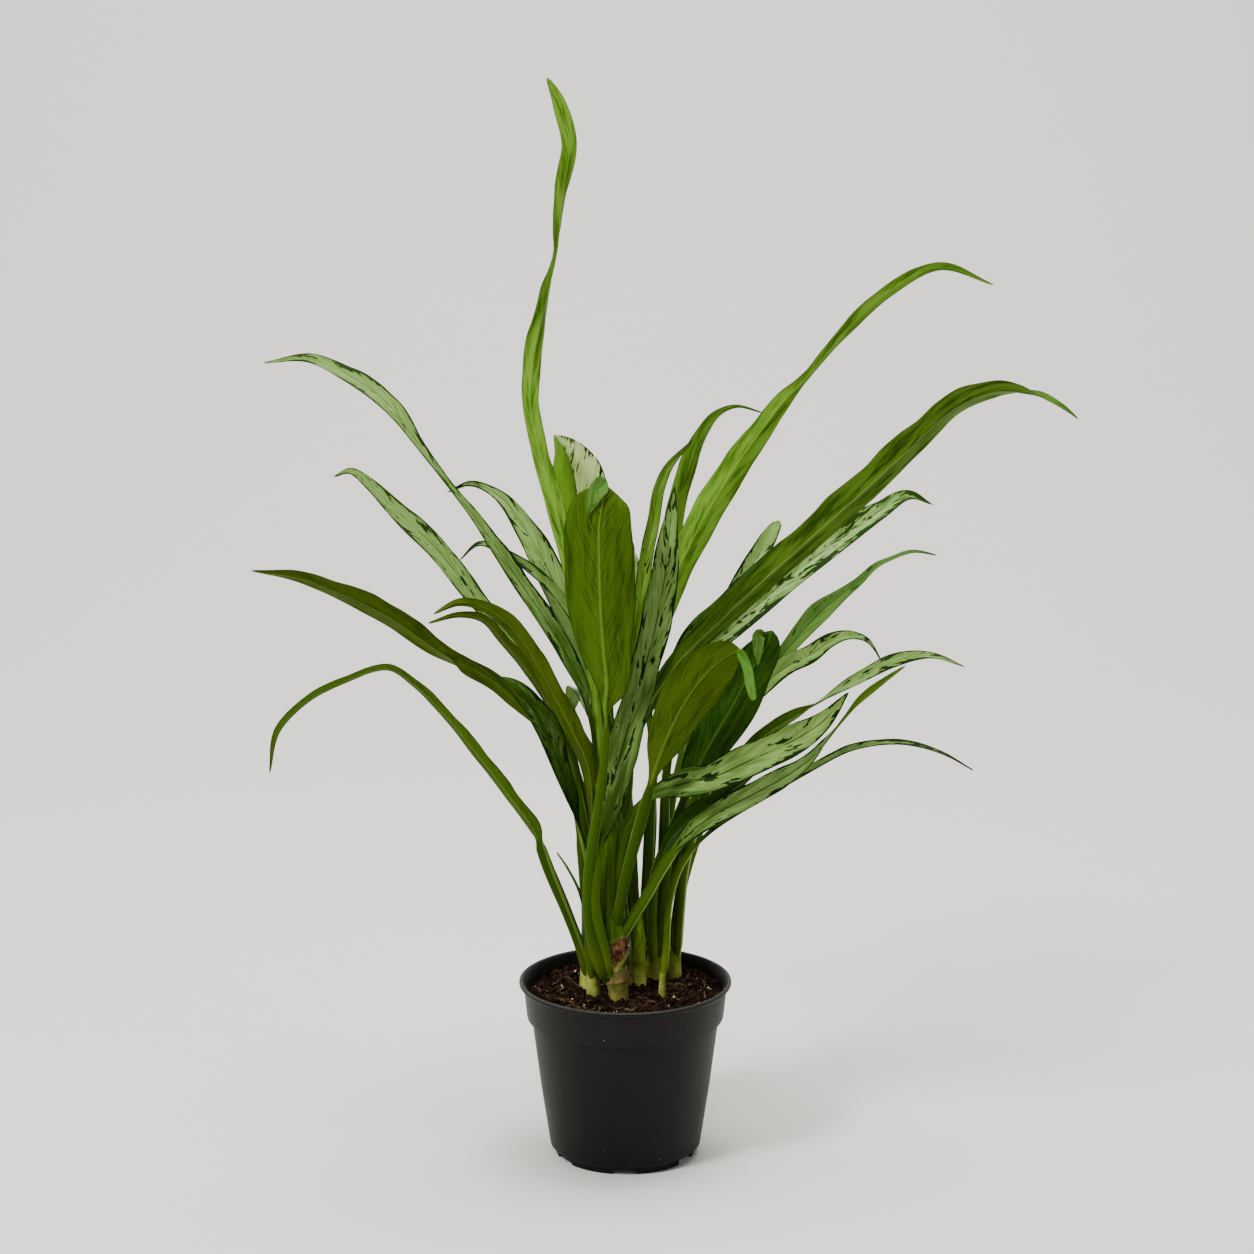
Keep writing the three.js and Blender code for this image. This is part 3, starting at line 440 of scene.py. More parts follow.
class Recipe:
    """A material and short ways to add nodes to it."""

    def __init__(self, name, roughness, **sockets):
        self.material = bpy.data.materials.new(name)
        self.material.use_nodes = True
        self.tree = self.material.node_tree
        self.shader = self.tree.nodes["Principled BSDF"]
        self.skin(Roughness=roughness, **sockets)

    def fill(self, node, inputs):
        """Sets a node's inputs, or links those that are values of other nodes."""
        for key, value in inputs.items():
            if isinstance(value, Value):
                self.tree.links.new(value.socket, node.inputs[key])
            else:
                node.inputs[key].default_value = value

    def add(self, kind, inputs, **settings):
        node = self.tree.nodes.new("ShaderNode" + kind)
        for label, value in settings.items():
            setattr(node, label, value)
        self.fill(node, inputs)
        return node

    def value(self, kind, output, inputs, **settings):
        return Value(self, self.add(kind, inputs, **settings).outputs[output])

    def mix(self, factor, first, second):
        """The first colour at 0 and the second at 1. A plain colour is given as its screen values."""
        first, second = (srgb(*each) if isinstance(each, tuple) else each for each in (first, second))
        return self.value("Mix", 2, {0: factor, 6: first, 7: second}, data_type="RGBA")

    def scaled(self, vector, scale):
        return self.value("VectorMath", 0, {0: vector, 1: scale}, operation="MULTIPLY")

    def parts(self, vector):
        return [Value(self, each) for each in self.add("SeparateXYZ", {0: vector}).outputs]

    def lay(self, label, scale=(1, 1, 1)):
        """What a mesh holds under the label at each point, times scale."""
        return self.scaled(self.value("Attribute", "Vector", {}, attribute_name=label), scale)

    def place(self, *scale):
        """The object's own coordinates in metres, times scale, or times one number for all three."""
        return self.scaled(self.value("TexCoord", "Object", {}), scale if len(scale) == 3 else 3 * scale)

    def height(self):
        """The height above the floor in millimetres."""
        return self.parts(self.place(1, 1, 1 / MM))[2]

    def noise(self, vector, detail=2.0, roughness=0.5):
        return self.value("TexNoise", "Fac", {"Vector": vector, "Scale": 1.0, "Detail": detail,
                                              "Roughness": roughness})

    def cloud(self, *scale, **kind):
        """Noise through the object's own space."""
        return self.noise(self.place(*scale), **kind)

    def grain(self, across=1.0, along=1.0, apart=1.0, **kind):
        """Noise that is stretched along a leaf's veins, in a field of each leaf's own."""
        return self.noise(self.lay("grain", (across, along, apart)), **kind)

    def skin(self, **inputs):
        """Sets or links the shader's inputs, named with _ for a space."""
        self.fill(self.shader, {label.replace("_", " "): value for label, value in inputs.items()})

    def bump(self, height, distance, strength):
        self.skin(Normal=self.value("Bump", 0, {"Height": height, "Distance": distance,
                                                "Strength": strength}))


# Screen colours: pale and streak are the upper side, base its darker foot, which is partly painted
# shade, dark its edge and flecks, under and shade the underside, vein its rib and veins. The amounts
# flecks and edge say how much of the upper side is dark, and veins how clear the side veins are.
Look = namedtuple("Look", "pale streak base dark under shade vein flecks edge veins")
LOOKS = {
    "silver": Look((130, 162, 90), (106, 138, 66), (50, 80, 16), (10, 34, 4),
                   (68, 98, 8), (54, 82, 4), (104, 134, 36), 0.7, 1, 0.25),
    "muted": Look((120, 150, 78), (94, 126, 56), (42, 70, 14), (9, 32, 4),
                  (62, 92, 8), (46, 72, 4), (98, 128, 34), 1, 1, 0.25),
    "flecked": Look((146, 176, 106), (92, 124, 58), (60, 92, 24), (12, 38, 6),
                    (60, 92, 8), (44, 70, 4), (98, 128, 34), 1.9, 1.5, 0.2),
    "sheen": Look((98, 144, 62), (80, 124, 44), (60, 100, 22), (44, 80, 12),
                  (84, 128, 42), (66, 106, 26), (98, 140, 56), 0, 0.2, 0.1),
    "sage": Look((84, 120, 52), (70, 104, 38), (48, 78, 18), (24, 54, 8),
                 (66, 96, 14), (52, 80, 8), (100, 130, 44), 0.1, 0.4, 0.2),
    "dusky": Look((60, 92, 34), (44, 74, 20), (28, 52, 6), (8, 28, 2),
                  (38, 64, 4), (28, 50, 2), (72, 102, 28), 0.9, 0.9, 0.2),
    "pale": Look((222, 242, 170), (200, 222, 142), (110, 148, 50), (20, 50, 10),
                 (86, 128, 8), (62, 100, 2), (112, 152, 24), 1.4, 1.2, 0.3),
    "olive": Look((98, 130, 56), (70, 102, 32), (38, 64, 6), (8, 30, 2),
                  (66, 94, 20), (42, 62, 9), (104, 134, 46), 0.9, 0.8, 1),
    "moss": Look((84, 116, 50), (56, 88, 28), (30, 54, 4), (8, 28, 2),
                 (64, 84, 18), (42, 58, 8), (96, 122, 40), 1, 0.9, 0.8),
    # bright is painted light: its undersides are a lighter yellow-green, standing for light that shines
    # through the leaf from behind.
    "bright": Look((112, 148, 56), (88, 126, 30), (60, 94, 8), (14, 40, 4),
                   (108, 150, 48), (48, 80, 8), (124, 162, 50), 0.4, 0.4, 0.15),
    "deep": Look((84, 124, 40), (60, 98, 20), (38, 66, 6), (10, 34, 2),
                 (80, 112, 32), (30, 52, 5), (128, 158, 76), 0.5, 0.6, 0.15),
    "dark": Look((62, 94, 32), (42, 72, 14), (22, 44, 2), (8, 28, 1),
                 (40, 70, 16), (14, 38, 4), (72, 108, 34), 0.6, 0.6, 0.8),
}
# One side's looks pass into the other's within this distance of the edge, in millimetres.
TURN_OVER = (-0.1, 0.1)
LEAF_SHEEN = (0.75, 1, 0.35, 1)
UNDER_SHINE = 0.02
UPPER_SHINE = 0.09
STALK_LOW = (118, 136, 28)
STALK_HIGH = (56, 84, 10)
STALK_LINES = (26, 46, 4)
STALK_RIM = (132, 160, 70)
# Stalks pass from their low colour to their high one between these heights.
STALK_FADE = (96, 135)
# Painted light and shade: the cane's green is darkened for the shade at the plant's crowded middle, and
# the other stems' green and pale feet are painted lighter to make up for the shade they stand in.
CANE_SHADED_GREEN = (58, 90, 12)
CANE_FOOT = (146, 140, 66)
STEM_LIT_GREEN = (112, 146, 30)
STEM_LIT_FOOT = (196, 202, 92)
TANS = ((150, 124, 84), (104, 78, 42))
BROWNS = ((54, 30, 18), (128, 88, 60))
PEATS = ((9, 3, 1), (26, 14, 8))
PEAT_SPECK = (70, 44, 30)
CRUMB_COLOURS = ((7, 3, 1), (66, 40, 26))
FIBRE_COLOURS = ((26, 13, 7), (150, 122, 92))
CHIP_COLOURS = ((120, 80, 52), (216, 184, 146))
PLASTICS = ((6, 6, 4), (11, 11, 9))
DUST = (48, 45, 40)
RIM_HIGHLIGHT = (64, 66, 62)
# Painted highlight colour for the rim's top edge.
SPECK = (128, 124, 116)
ROOM_COLOUR = (232, 228, 221)
GLOW = (0.95, 0.97, 1, 1)
GLOW_STRENGTH = 0.19


def upper_side(recipe, tone, edge, middle, share):
    """Silver-green with soft streaks, a dark ragged edge, clustered flecks and a broken dark midrib."""
    flecks = recipe.grain(roughness=0.55)
    streaks = recipe.grain(0.9, 0.16)
    apart = recipe.grain(0.14, 0.35, detail=1.0) - 0.5
    near_edge = edge.fall(1.0, 4.5)
    limit = 0.82 - 0.12 * tone.flecks
    spots = (flecks + apart * 1.2 + near_edge * (0.13 * tone.edge)).step(limit, limit + 0.025)
    ragged = flecks * 1.8 + apart * 4
    rim = (edge - ragged * tone.edge).fall(0.12, 0.3)
    line = middle.fall(0.3, 0.7) * recipe.grain(0.0, 0.6, detail=1.0).step(0.44, 0.5)
    # Painted shade: the upper side darkens to its base colour towards its foot, partly the leaf's own
    # greener base and partly the shade of the plant's crowded middle.
    low = (share + apart * 0.9).fall(0.02, 0.42)
    pale = recipe.mix(streaks.step(0.35, 0.68), tone.pale, tone.streak)
    for where in (low * 0.9, near_edge * (0.3 * tone.edge), middle.fall(0.5, 1.6) * 0.35):
        pale = recipe.mix(where, pale, tone.base)
    return recipe.mix(spots.most(rim.most(line)), pale, tone.dark), streaks


def under_side(recipe, tone, edge, middle, wave):
    """A plain colour, softly clouded and finely lined, with faint side veins and a paler rib."""
    quilt = wave.step(0.0, 0.4) - 0.5
    fine = recipe.grain(1.5, 0.1) - 0.5
    clouds = quilt * (0.16 * tone.veins) + recipe.grain(0.2, 0.2) + fine * 0.45
    plain = recipe.mix(clouds.step(0.22, 0.66), tone.shade, tone.under)
    line = wave.fall(0.010, 0.045) * edge.step(0.5, 3.0) * (0.5 * tone.veins)
    rib = middle.fall(0.5, 1.1) * 0.6
    plain = recipe.mix(line.most(rib), plain, tone.vein)
    return recipe.mix(edge.fall(0.15, 0.8) * 0.55, plain, tone.dark)


def stalk_skin(recipe, size, own):
    """Pale near the soil and darker above it, with dark lines and a paler rim at both sides."""
    lines = recipe.noise(recipe.lay("lay", (7, 0, 0.02)), detail=1.0)
    stalk = recipe.mix(recipe.height().step(*STALK_FADE), STALK_LOW, STALK_HIGH)
    for where in (own.step(0.36, 0.6) * 0.7, lines.step(0.5, 0.9)):
        stalk = recipe.mix(where, stalk, STALK_LINES)
    return recipe.mix(size.step(0.9, 0.99) * 0.6, stalk, STALK_RIM)


def leaf_material(look):
    """One leaf's skin: its upper side, its underside and its stalk, told apart by where they lie."""
    tone = LOOKS[look]
    recipe = Recipe("leaf_" + look, 0.5, Specular_Tint=LEAF_SHEEN)
    size, middle, vein = recipe.parts(recipe.lay("lay"))
    side, blade, share = recipe.parts(recipe.lay("place"))
    edge = side.math("ABSOLUTE")
    wave = vein.math("PINGPONG", 0.5)
    own = recipe.grain(0.01, 0.01, 0.13, detail=0.0)
    upper, streaks = upper_side(recipe, tone, edge, middle, share)
    under = under_side(recipe, tone, edge, middle, wave)
    both = recipe.mix(side.step(*TURN_OVER), under, upper)
    both = recipe.mix(own.step(0.35, 0.65) * 0.22, both, tone.base)
    recipe.skin(Base_Color=recipe.mix(blade.step(0.3, 0.95), stalk_skin(recipe, size, own), both),
                Specular_IOR_Level=side.spread(UNDER_SHINE, UPPER_SHINE, *TURN_OVER),
                Roughness=recipe.cloud(90).spread(0.36, 0.56))
    quilt = wave.step(0.0, 0.3) * blade * (0.5 * tone.veins)
    recipe.bump(quilt + streaks * 0.4, 0.0004, 0.5)
    return recipe.material


def stem_material(name, green, foot):
    """Green stems with pale feet, tan rings and a dry brown sheath."""
    recipe = Recipe(name, 0.45, Specular_IOR_Level=0.15, Specular_Tint=LEAF_SHEEN)
    dry, pale, ring = recipe.parts(recipe.lay("lay"))
    streaks = recipe.cloud(500, 500, 40)
    blotch = recipe.cloud(160, 160, 90, detail=3.0)
    crumbly = recipe.cloud(420, 420, 260, detail=4.0, roughness=0.7)
    lined = recipe.mix(streaks.step(0.35, 0.7), green, dimmed(green, 0.65))
    faded = recipe.mix(blotch.step(0.38, 0.62), foot, dimmed(foot, 0.72))
    tan = recipe.mix(blotch.step(0.4, 0.6), *TANS)
    brown = recipe.mix(crumbly.step(0.42, 0.62), *BROWNS)
    base = recipe.mix(ring * blotch.step(0.3, 0.6), recipe.mix(pale, lined, faded), tan)
    recipe.skin(Base_Color=recipe.mix(dry, base, brown), Roughness=dry.spread(0.42, 0.9))
    recipe.bump(crumbly * (dry * 1.6 + 0.2) + streaks * 0.2, 0.0008, 0.7)
    return recipe.material


def soil_material():
    """Dark peat in two browns, with paler specks."""
    recipe = Recipe("soil", 0.95, Specular_IOR_Level=0.05)
    grain = recipe.cloud(900, detail=4.0, roughness=0.65)
    base = recipe.mix(recipe.cloud(120, detail=3.0).step(0.35, 0.65), *PEATS)
    recipe.skin(Base_Color=recipe.mix(grain.step(0.60, 0.74), base, PEAT_SPECK))
    recipe.bump(grain, 0.0012, 0.9)
    return recipe.material


def litter_material(name, colours, roughness):
    """Crumbs, fibres and chips: each has its own shade, from its tint, with a fine grain."""
    recipe = Recipe(name, roughness, Specular_IOR_Level=0.08)
    tint = recipe.parts(recipe.lay("lay"))[0]
    grain = recipe.cloud(1400, detail=3.0)
    recipe.skin(Base_Color=recipe.mix(tint * 0.8 + grain * 0.3, *colours))
    recipe.bump(grain, 0.0004, 0.6)
    return recipe.material


def pot_material():
    """Matte moulded plastic, near black, softly clouded, with a painted rim highlight and specks of dust.
    """
    recipe = Recipe("pot_plastic", 0.5, Specular_IOR_Level=0.15)
    fine = recipe.cloud(1600)
    cloudy = recipe.cloud(22, detail=4.0, roughness=0.6)
    base = recipe.mix(cloudy.step(0.35, 0.75), *PLASTICS)
    base = recipe.mix(cloudy.step(0.55, 0.85) * fine.step(0.45, 0.7) * 0.3, base, DUST)
    # Painted highlight: the rim's top is a lighter grey, broken up by fine noise.
    rim_highlight = recipe.height().step(*RIM_HIGHLIGHT_BAND) * 0.7 * fine.step(0.2, 0.6)
    base = recipe.mix(rim_highlight, base, RIM_HIGHLIGHT)
    cells = recipe.add("TexVoronoi", {"Vector": recipe.place(1), "Scale": 260.0, "Randomness": 1.0})
    small = Value(recipe, cells.outputs["Distance"]).fall(0.05, 0.12)
    drawn = recipe.value("SeparateColor", 0, {0: Value(recipe, cells.outputs["Color"])})
    recipe.skin(Base_Color=recipe.mix(small * drawn.step(0.955, 0.96), base, SPECK),
                Roughness=cloudy.spread(0.42, 0.58))
    recipe.bump(fine, 0.0001, 0.35)
    return recipe.material


# ---- meshes

def new_object(name, points, faces, material=None):
    """An object from points in metres. It is smooth where it has a material."""
    mesh = bpy.data.meshes.new(name)
    mesh.from_pydata(points, [], faces)
    if material:
        mesh.polygons.foreach_set("use_smooth", [True] * len(mesh.polygons))
        mesh.materials.append(material)
    made = bpy.data.objects.new(name, mesh)
    bpy.context.scene.collection.objects.link(made)
    return made


def piece(name, points, faces, node, slot, material, attributes=()):
    """A smooth object from points in millimetres. It hides the node's solid and rides with the root."""
    made = new_object(name, (np.asarray(points) * MM).tolist(), faces, material)
    for label, values in dict(attributes).items():
        layer = made.data.attributes.new(label, "FLOAT_VECTOR", "POINT")
        layer.data.foreach_set("vector", np.asarray(values, np.float32).ravel())
    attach(made, "root")
    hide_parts(node)
    return made


def tube_faces(rings, around, first=0, caps=True):
    """Faces through rings of points that run anticlockwise about the way they advance."""
    faces = []
    for i in range(rings - 1):
        for k in range(around):
            a, b = first + i * around + k, first + i * around + (k + 1) % around
            faces.append((a, b, b + around, a + around))
    if caps:
        last = first + (rings - 1) * around
        faces.append(tuple(range(first + around - 1, first - 1, -1)))
        faces.append(tuple(range(last, last + around)))
    return faces


def turned_faces(rings, around):
    """Faces through a point on the axis, rings of points and a last point on the axis."""
    faces = tube_faces(rings, around, first=1, caps=False)
    last = 1 + (rings - 1) * around
    for k in range(around):
        after = (k + 1) % around
        faces.append((0, 1 + after, 1 + k))
        faces.append((last + k, last + after, last + around))
    return faces


def circle(radius, around):
    """Points round a circle, anticlockwise from the right."""
    turns = [2 * math.pi * k / around for k in range(around)]
    return [(radius * math.cos(turn), radius * math.sin(turn)) for turn in turns]


def smooth(t):
    """0 up to 0 and 1 from 1 on, with a smooth rise between them."""
    t = np.clip(t, 0, 1)
    return t * t * (3 - 2 * t)


def hump(value, middle, width):
    """1 at the middle, and near 0 at twice the width from it."""
    return np.exp(-((value - middle) / width) ** 2)


def close_end(to_end, length):
    """How much of its radius a round end keeps, this far from the end."""
    return np.sqrt(np.maximum(0.02, 1 - np.clip(1 - to_end / length, 0, None) ** 2))


def curve_through(stations, steps=24):
    """A centripetal Catmull-Rom curve through the stations, with every column carried along."""
    rows = np.asarray(stations, float)
    rows = np.vstack([2 * rows[0] - rows[1], rows, 2 * rows[-1] - rows[-2]])
    knots = np.concatenate([[0], np.cumsum(np.linalg.norm(np.diff(rows[:, :3], axis=0), axis=1) ** 0.5)])
    made = []
    for i in range(1, len(rows) - 2):
        k0, k1, k2, k3 = knots[i - 1:i + 3]
        for t in np.linspace(k1, k2, steps, endpoint=False):
            a = [((kb - t) * rows[j] + (t - ka) * rows[j + 1]) / (kb - ka)
                 for j, ka, kb in ((i - 1, k0, k1), (i, k1, k2), (i + 1, k2, k3))]
            b = ((k2 - t) * a[0] + (t - k0) * a[1]) / (k2 - k0)
            c = ((k3 - t) * a[1] + (t - k1) * a[2]) / (k3 - k1)
            made.append(((k2 - t) * b + (t - k1) * c) / (k2 - k1))
    made.append(rows[-2])
    return np.array(made)


def even(rows, step):
    """The same curve at even steps, with its length so far as one more column."""
    gone = np.concatenate([[0], np.cumsum(np.linalg.norm(np.diff(rows[:, :3], axis=0), axis=1))])
    marks = np.linspace(0, gone[-1], max(4, round(gone[-1] / step) + 1))
    columns = [np.interp(marks, gone, rows[:, k]) for k in range(rows.shape[1])]
    return np.stack(columns + [marks], 1)


def directions(places, zero, turn=0.0):
    """A curve's upper side and the way across it, at each place."""
    along = np.gradient(places, axis=0)
    along /= np.linalg.norm(along, axis=1)[:, None]
    start = np.asarray(zero, float) - (along @ np.asarray(zero, float))[:, None] * along
    start /= np.linalg.norm(start, axis=1)[:, None]
    angle = np.radians(np.full(len(places), turn))[:, None]
    upper = start * np.cos(angle) + np.cross(along, start) * np.sin(angle)
    return upper, np.cross(along, upper)


# ---- leaves

def stalk_swell(gone, sheath):
    """A stalk's thickness over its plain one: more at its foot, further up and at its sheath."""
    swell = 1.1 + 0.5 * np.exp(-gone / 40) + 0.35 * hump(gone, 70, 30) + sheath * hump(gone, 20, 14)
    return swell * (0.5 + 0.5 * smooth(gone / STALK_START))


def leaf_piece(one, index, material):
    """A leaf: a round stalk that opens into a thin blade with a raised rib and waved margins.

    Its points hold lay (share of the way from rib to margin, distance from the rib in rib radii, side
    vein), grain (where the noise is taken) and place (millimetres to the margin, less than 0 on the
    underside, share of blade, share of the way to the tip).
    """
    stations = np.asarray(one["route"], float)
    widest = stations[:, 3].max()
    rows = even(curve_through(stations), min(LEAF_STEP, widest / STEPS_ACROSS))
    places, width, turn, gone = rows[:, :3], np.maximum(rows[:, 3], 0), rows[:, 4], rows[:, 5]
    upper, across = directions(places, one["zero"], turn)
    opens = int(np.argmax(stations[:, 3] > 0))
    start, full = (gone[np.argmin(np.linalg.norm(places - stations[k, :3], axis=1))]
                   for k in (opens - 1, opens))
    blade = smooth((gone - start) / (full - start))
    reached = (gone - start) / (gone[-1] - start)
    share = np.clip(reached, 0, 1)
    stalk = one["stalk"] * stalk_swell(gone, one["sheath"])
    half = (1 - blade) * stalk + blade * np.maximum(SLIM * width / 2, LEAST_HALF)
    half *= close_end(gone[-1] - gone, max(BLUNT_SHARE * width[-1], LEAST_BLUNT))
    fold = math.radians(min(FOLD_GAIN * one["fold"], max(one["fold"], STEEP_FOLD))) * blade
    off = one["lean"] * hump(share, 0, LEAN_LENGTH)
    spots = np.linspace(-1, 1, 2 * LEAF_COLUMNS + 1)
    blade_spots = np.sign(spots) * np.abs(spots) ** COLUMN_CROWDING
    round_spots = np.sin(spots * math.pi / 2)
    chance = random.Random(SEED + index)
    phases = [chance.uniform(0, 2 * math.pi) for _ in range(4)]
    wave = max(chance.uniform(*RIPPLE_LENGTH), chance.uniform(*RIPPLE_WIDTHS) * widest)
    spacing = max(LEAST_SPACING, VEIN_SPACING * widest)
    ribs = RIB_RADIUS * (1 - RIB_TAPER * share) * min(1, widest / WIDE_LEAF)
    points, lay, grain, place = [], [], [], []
    for i, (b, h) in enumerate(zip(blade, half)):
        # u goes from -1 to 1 across the leaf, and size from 0 at the rib to 1 at both margins.
        u = (1 - b) * round_spots + b * blade_spots
        aside = u - off[i]
        size = np.abs(aside / (1 - off[i] * np.sign(aside)))
        reach = np.abs(aside) * h
        side = np.where(u < 0, 0, 1)
        ripple = np.sin(2 * math.pi * gone[i] / wave + np.where(side, phases[0], phases[1]))
        small = 2 * math.pi * gone[i] / (SMALL_RIPPLE_LENGTH * wave) + np.where(side, phases[2], phases[3])
        ripple += SMALL_RIPPLE * np.sin(small)
        bend = np.sqrt(size ** 2 + FOLD_SOFTNESS) - math.sqrt(FOLD_SOFTNESS) - 0.5
        lift = bend * math.sin(fold[i]) * h
        lift += b * h * (RIPPLE * ripple * size ** 2.2 - DROOP * size ** 3)
        out = u * h * math.cos(fold[i]) * (1 + b * MARGIN_WAVE * ripple * size)
        rib = b * RIB_HEIGHT * ribs[i] * hump(aside * h, 0, ribs[i])
        body = (1 - b) * h * np.sqrt(np.clip(1 - u ** 2, 0, 1)) + b * EDGE_SKIN + SKIN
        over = body + b * UPPER_SKIN * (1 - size) - RIB_GROOVE * rib
        below = body + b * UNDER_SKIN * (1 - size) + rib
        phase = (gone[i] - h * (1.7 * size + 1.2 * size ** 3)) / spacing + VEIN_OFFSET * side
        slant = gone[i] * math.sin(VEIN_SLANT) - reach * math.cos(VEIN_SLANT)
        run = gone[i] * math.cos(VEIN_SLANT) + reach * math.sin(VEIN_SLANT)
        flat = np.ones_like(u)
        margin = (1 - np.abs(u)) * h + MARGIN_OFFSET
        # The upper side from one margin to the other, then the underside back again.
        for offset, sign in ((lift + over, 1), (lift - below, -1)):
            points.append((places[i] + across[i] * out[:, None] + upper[i] * offset[:, None])[::sign])
            lay.append(np.stack([size, reach / ribs[i], phase], 1)[::sign])
            grain.append(np.stack([slant / FLECK_WIDTH, run / FLECK_LENGTH,
                                   index * GRAIN_APART + 0.3 * u * h], 1)[::sign])
            place.append(np.stack([sign * margin, b * flat,
                                   min(reached[i], reached[i] / one["foot"]) * flat], 1)[::sign])
    attributes = {"lay": np.vstack(lay), "grain": np.vstack(grain), "place": np.vstack(place)}
    faces = tube_faces(len(rows), 2 * len(spots))
    piece("leaf_" + one["name"], np.vstack(points), faces, one["node"], "leaf", material, attributes)


# ---- stems

def plain_stem(name, node, stations, material):
    """A stem with a pale foot, a few ringed joints and a slight swelling at the soil."""
    rows = even(curve_through(stations), STEM_STEP)
    upper, across = directions(rows[:, :3], FRONT)
    chance = random.Random(name)
    joints = [SOIL_TOP + chance.uniform(4, 8) + JOINT_STEP * k for k in range(STEM_JOINTS)]
    points, lay = [], []
    for i, (_, _, z, radius, gone) in enumerate(rows):
        joint = max(hump(z, level, 0.9) for level in joints)
        swell = 1 + 0.10 * hump(z, SOIL_TOP, 6) + 0.05 * joint
        close = close_end(rows[-1, 4] - gone, STEM_CLOSE)
        for k in range(STEM_COLUMNS):
            angle = 2 * math.pi * k / STEM_COLUMNS
            reach = radius * swell * close * (1 + 0.03 * math.sin(3 * angle + z * 0.05))
            points.append(rows[i, :3] + reach * (across[i] * math.cos(angle) - upper[i] * math.sin(angle)))
            pale = 1 - smooth((z - SOIL_TOP - 2 - 3 * math.sin(2 * angle)) / 16)
            lay.append((0, pale, 0.35 * joint))
    piece(name, points, tube_faces(len(rows), STEM_COLUMNS), node, "leaf", material, {"lay": lay})


def main_cane(material):
    """The thick cane: a tan foot, a dry brown sheath in a green V, and a green sheath above it."""
    rows = even(curve_through(STEMS["shoot_main"]), CANE_STEP)
    upper, across = directions(rows[:, :3], FRONT)
    points, lay = [], []
    for i, (_, _, z, radius, gone) in enumerate(rows):
        close = close_end(rows[-1, 4] - gone, CANE_CLOSE)
        foot = 1 - smooth((z - PALE_TOP) / 3)
        ring = smooth((z - TAN_BOTTOM) / 1.4) * smooth((TAN_TOP - z) / 1.4)
        for k in range(CANE_COLUMNS):
            angle = 2 * math.pi * k / CANE_COLUMNS
            side, near = math.cos(angle), -math.sin(angle)
            shown = near > -0.35
            slope = 10 if side > V_MIDDLE else 15
            v_edge = V_FOOT + slope * abs(side - V_MIDDLE) ** 1.2 + 0.5 * math.sin(9 * angle)
            lip = V_TOP + 2.0 * side + 0.6 * math.sin(5 * angle)
            in_v = smooth((z - v_edge) / 0.7) * smooth((lip - z) / 0.5) * shown
            arm = hump(z, v_edge - 2.2, 2.2) * shown
            reach = radius + 0.55 * smooth((z - lip) / 0.7) - 0.35 * in_v + 0.35 * arm + 0.6 * ring
            reach += 1.6 * max(side, 0) * hump(z, V_TOP - 4, 10)
            reach -= 1.2 * (1 - smooth((z - 98) / 6))
            reach += in_v * 0.35 * noise.noise(Vector((side * 9, near * 9, z * 0.5)))
            reach += ring * 0.25 * noise.noise(Vector((side * 4, near * 4, z * 0.9)))
            reach += 0.25 * hump(z, 104, 0.8)
            points.append(rows[i, :3] + reach * close * (across[i] * side + upper[i] * near))
            pale = max(foot, 0.8 * arm, 0.5 * hump(z, lip + 0.8, 1.2))
            lay.append((in_v, pale, ring * 0.9))
    faces = tube_faces(len(rows), CANE_COLUMNS)
    piece("shoot_main_cane", points, faces, "shoot_main", "leaf", material, {"lay": lay})


# ---- pot

def pot_profile():
    """Radius and height of the pot's section, from the middle of its underside round to its inside."""
    under = COLLAR_BOTTOM + 1.5
    inner_foot = FOOT_RADIUS - FOOT_WALL
    return [
        (0, 0), (PAD_RADIUS, 0), (PAD_RADIUS + 1, FOOT_HEIGHT), (inner_foot, FOOT_HEIGHT),
        (inner_foot, 0), (FOOT_RADIUS - 0.3, 0), (FOOT_RADIUS, 0.3),
        (FOOT_RADIUS + 0.6, FOOT_HEIGHT - 0.2), (BODY_RADIUS_LOW - 0.5, FOOT_HEIGHT + 0.1),
        (BODY_RADIUS_LOW, FOOT_HEIGHT + 0.8), (BODY_RADIUS_LOW + 0.3, FOOT_HEIGHT + 2),
        (BODY_RADIUS_TOP - 5, 40), (BODY_RADIUS_TOP - 0.2, COLLAR_BOTTOM - 2),
        (BODY_RADIUS_TOP, COLLAR_BOTTOM - 0.3), (BODY_RADIUS_TOP + 0.4, COLLAR_BOTTOM),
        (COLLAR_RADIUS_LOW - 1, COLLAR_BOTTOM + 0.1), (COLLAR_RADIUS_LOW - 0.3, COLLAR_BOTTOM + 0.5),
        (COLLAR_RADIUS_LOW, under), (COLLAR_RADIUS_HIGH, POT_HEIGHT - 6),
        (COLLAR_RADIUS_HIGH + 0.5, POT_HEIGHT - 4), (RIM_RADIUS - 0.6, POT_HEIGHT - RIM_ROLL - 0.2),
        (RIM_RADIUS - 0.1, POT_HEIGHT - RIM_ROLL + 0.4), (RIM_RADIUS, POT_HEIGHT - RIM_ROLL / 2),
        (RIM_RADIUS - 0.25, POT_HEIGHT - 0.4), (RIM_RADIUS - 0.9, POT_HEIGHT),
        (RIM_RADIUS - 1.6, POT_HEIGHT - 0.05), (RIM_RADIUS - 2.1, POT_HEIGHT - 0.5),
        (COLLAR_RADIUS_HIGH - WALL, POT_HEIGHT - 3.5), (COLLAR_RADIUS_LOW - WALL, under + 0.5),
        (BODY_RADIUS_TOP - WALL, COLLAR_BOTTOM - 0.5), (BODY_RADIUS_LOW - WALL, CHANNEL),
        (PAD_RADIUS - 0.6, CHANNEL), (PAD_RADIUS - 1.6, FLOOR), (0, FLOOR),
    ]


def lathe(profile, around):
    """Points and faces of a turned body whose profile starts and ends on the axis."""
    points = [(0, 0, profile[0][1])]
    for radius, z in profile[1:-1]:
        points += [(x, y, z) for x, y in circle(radius, around)]
    points.append((0, 0, profile[-1][1]))
    return points, turned_faces(len(profile) - 2, around)


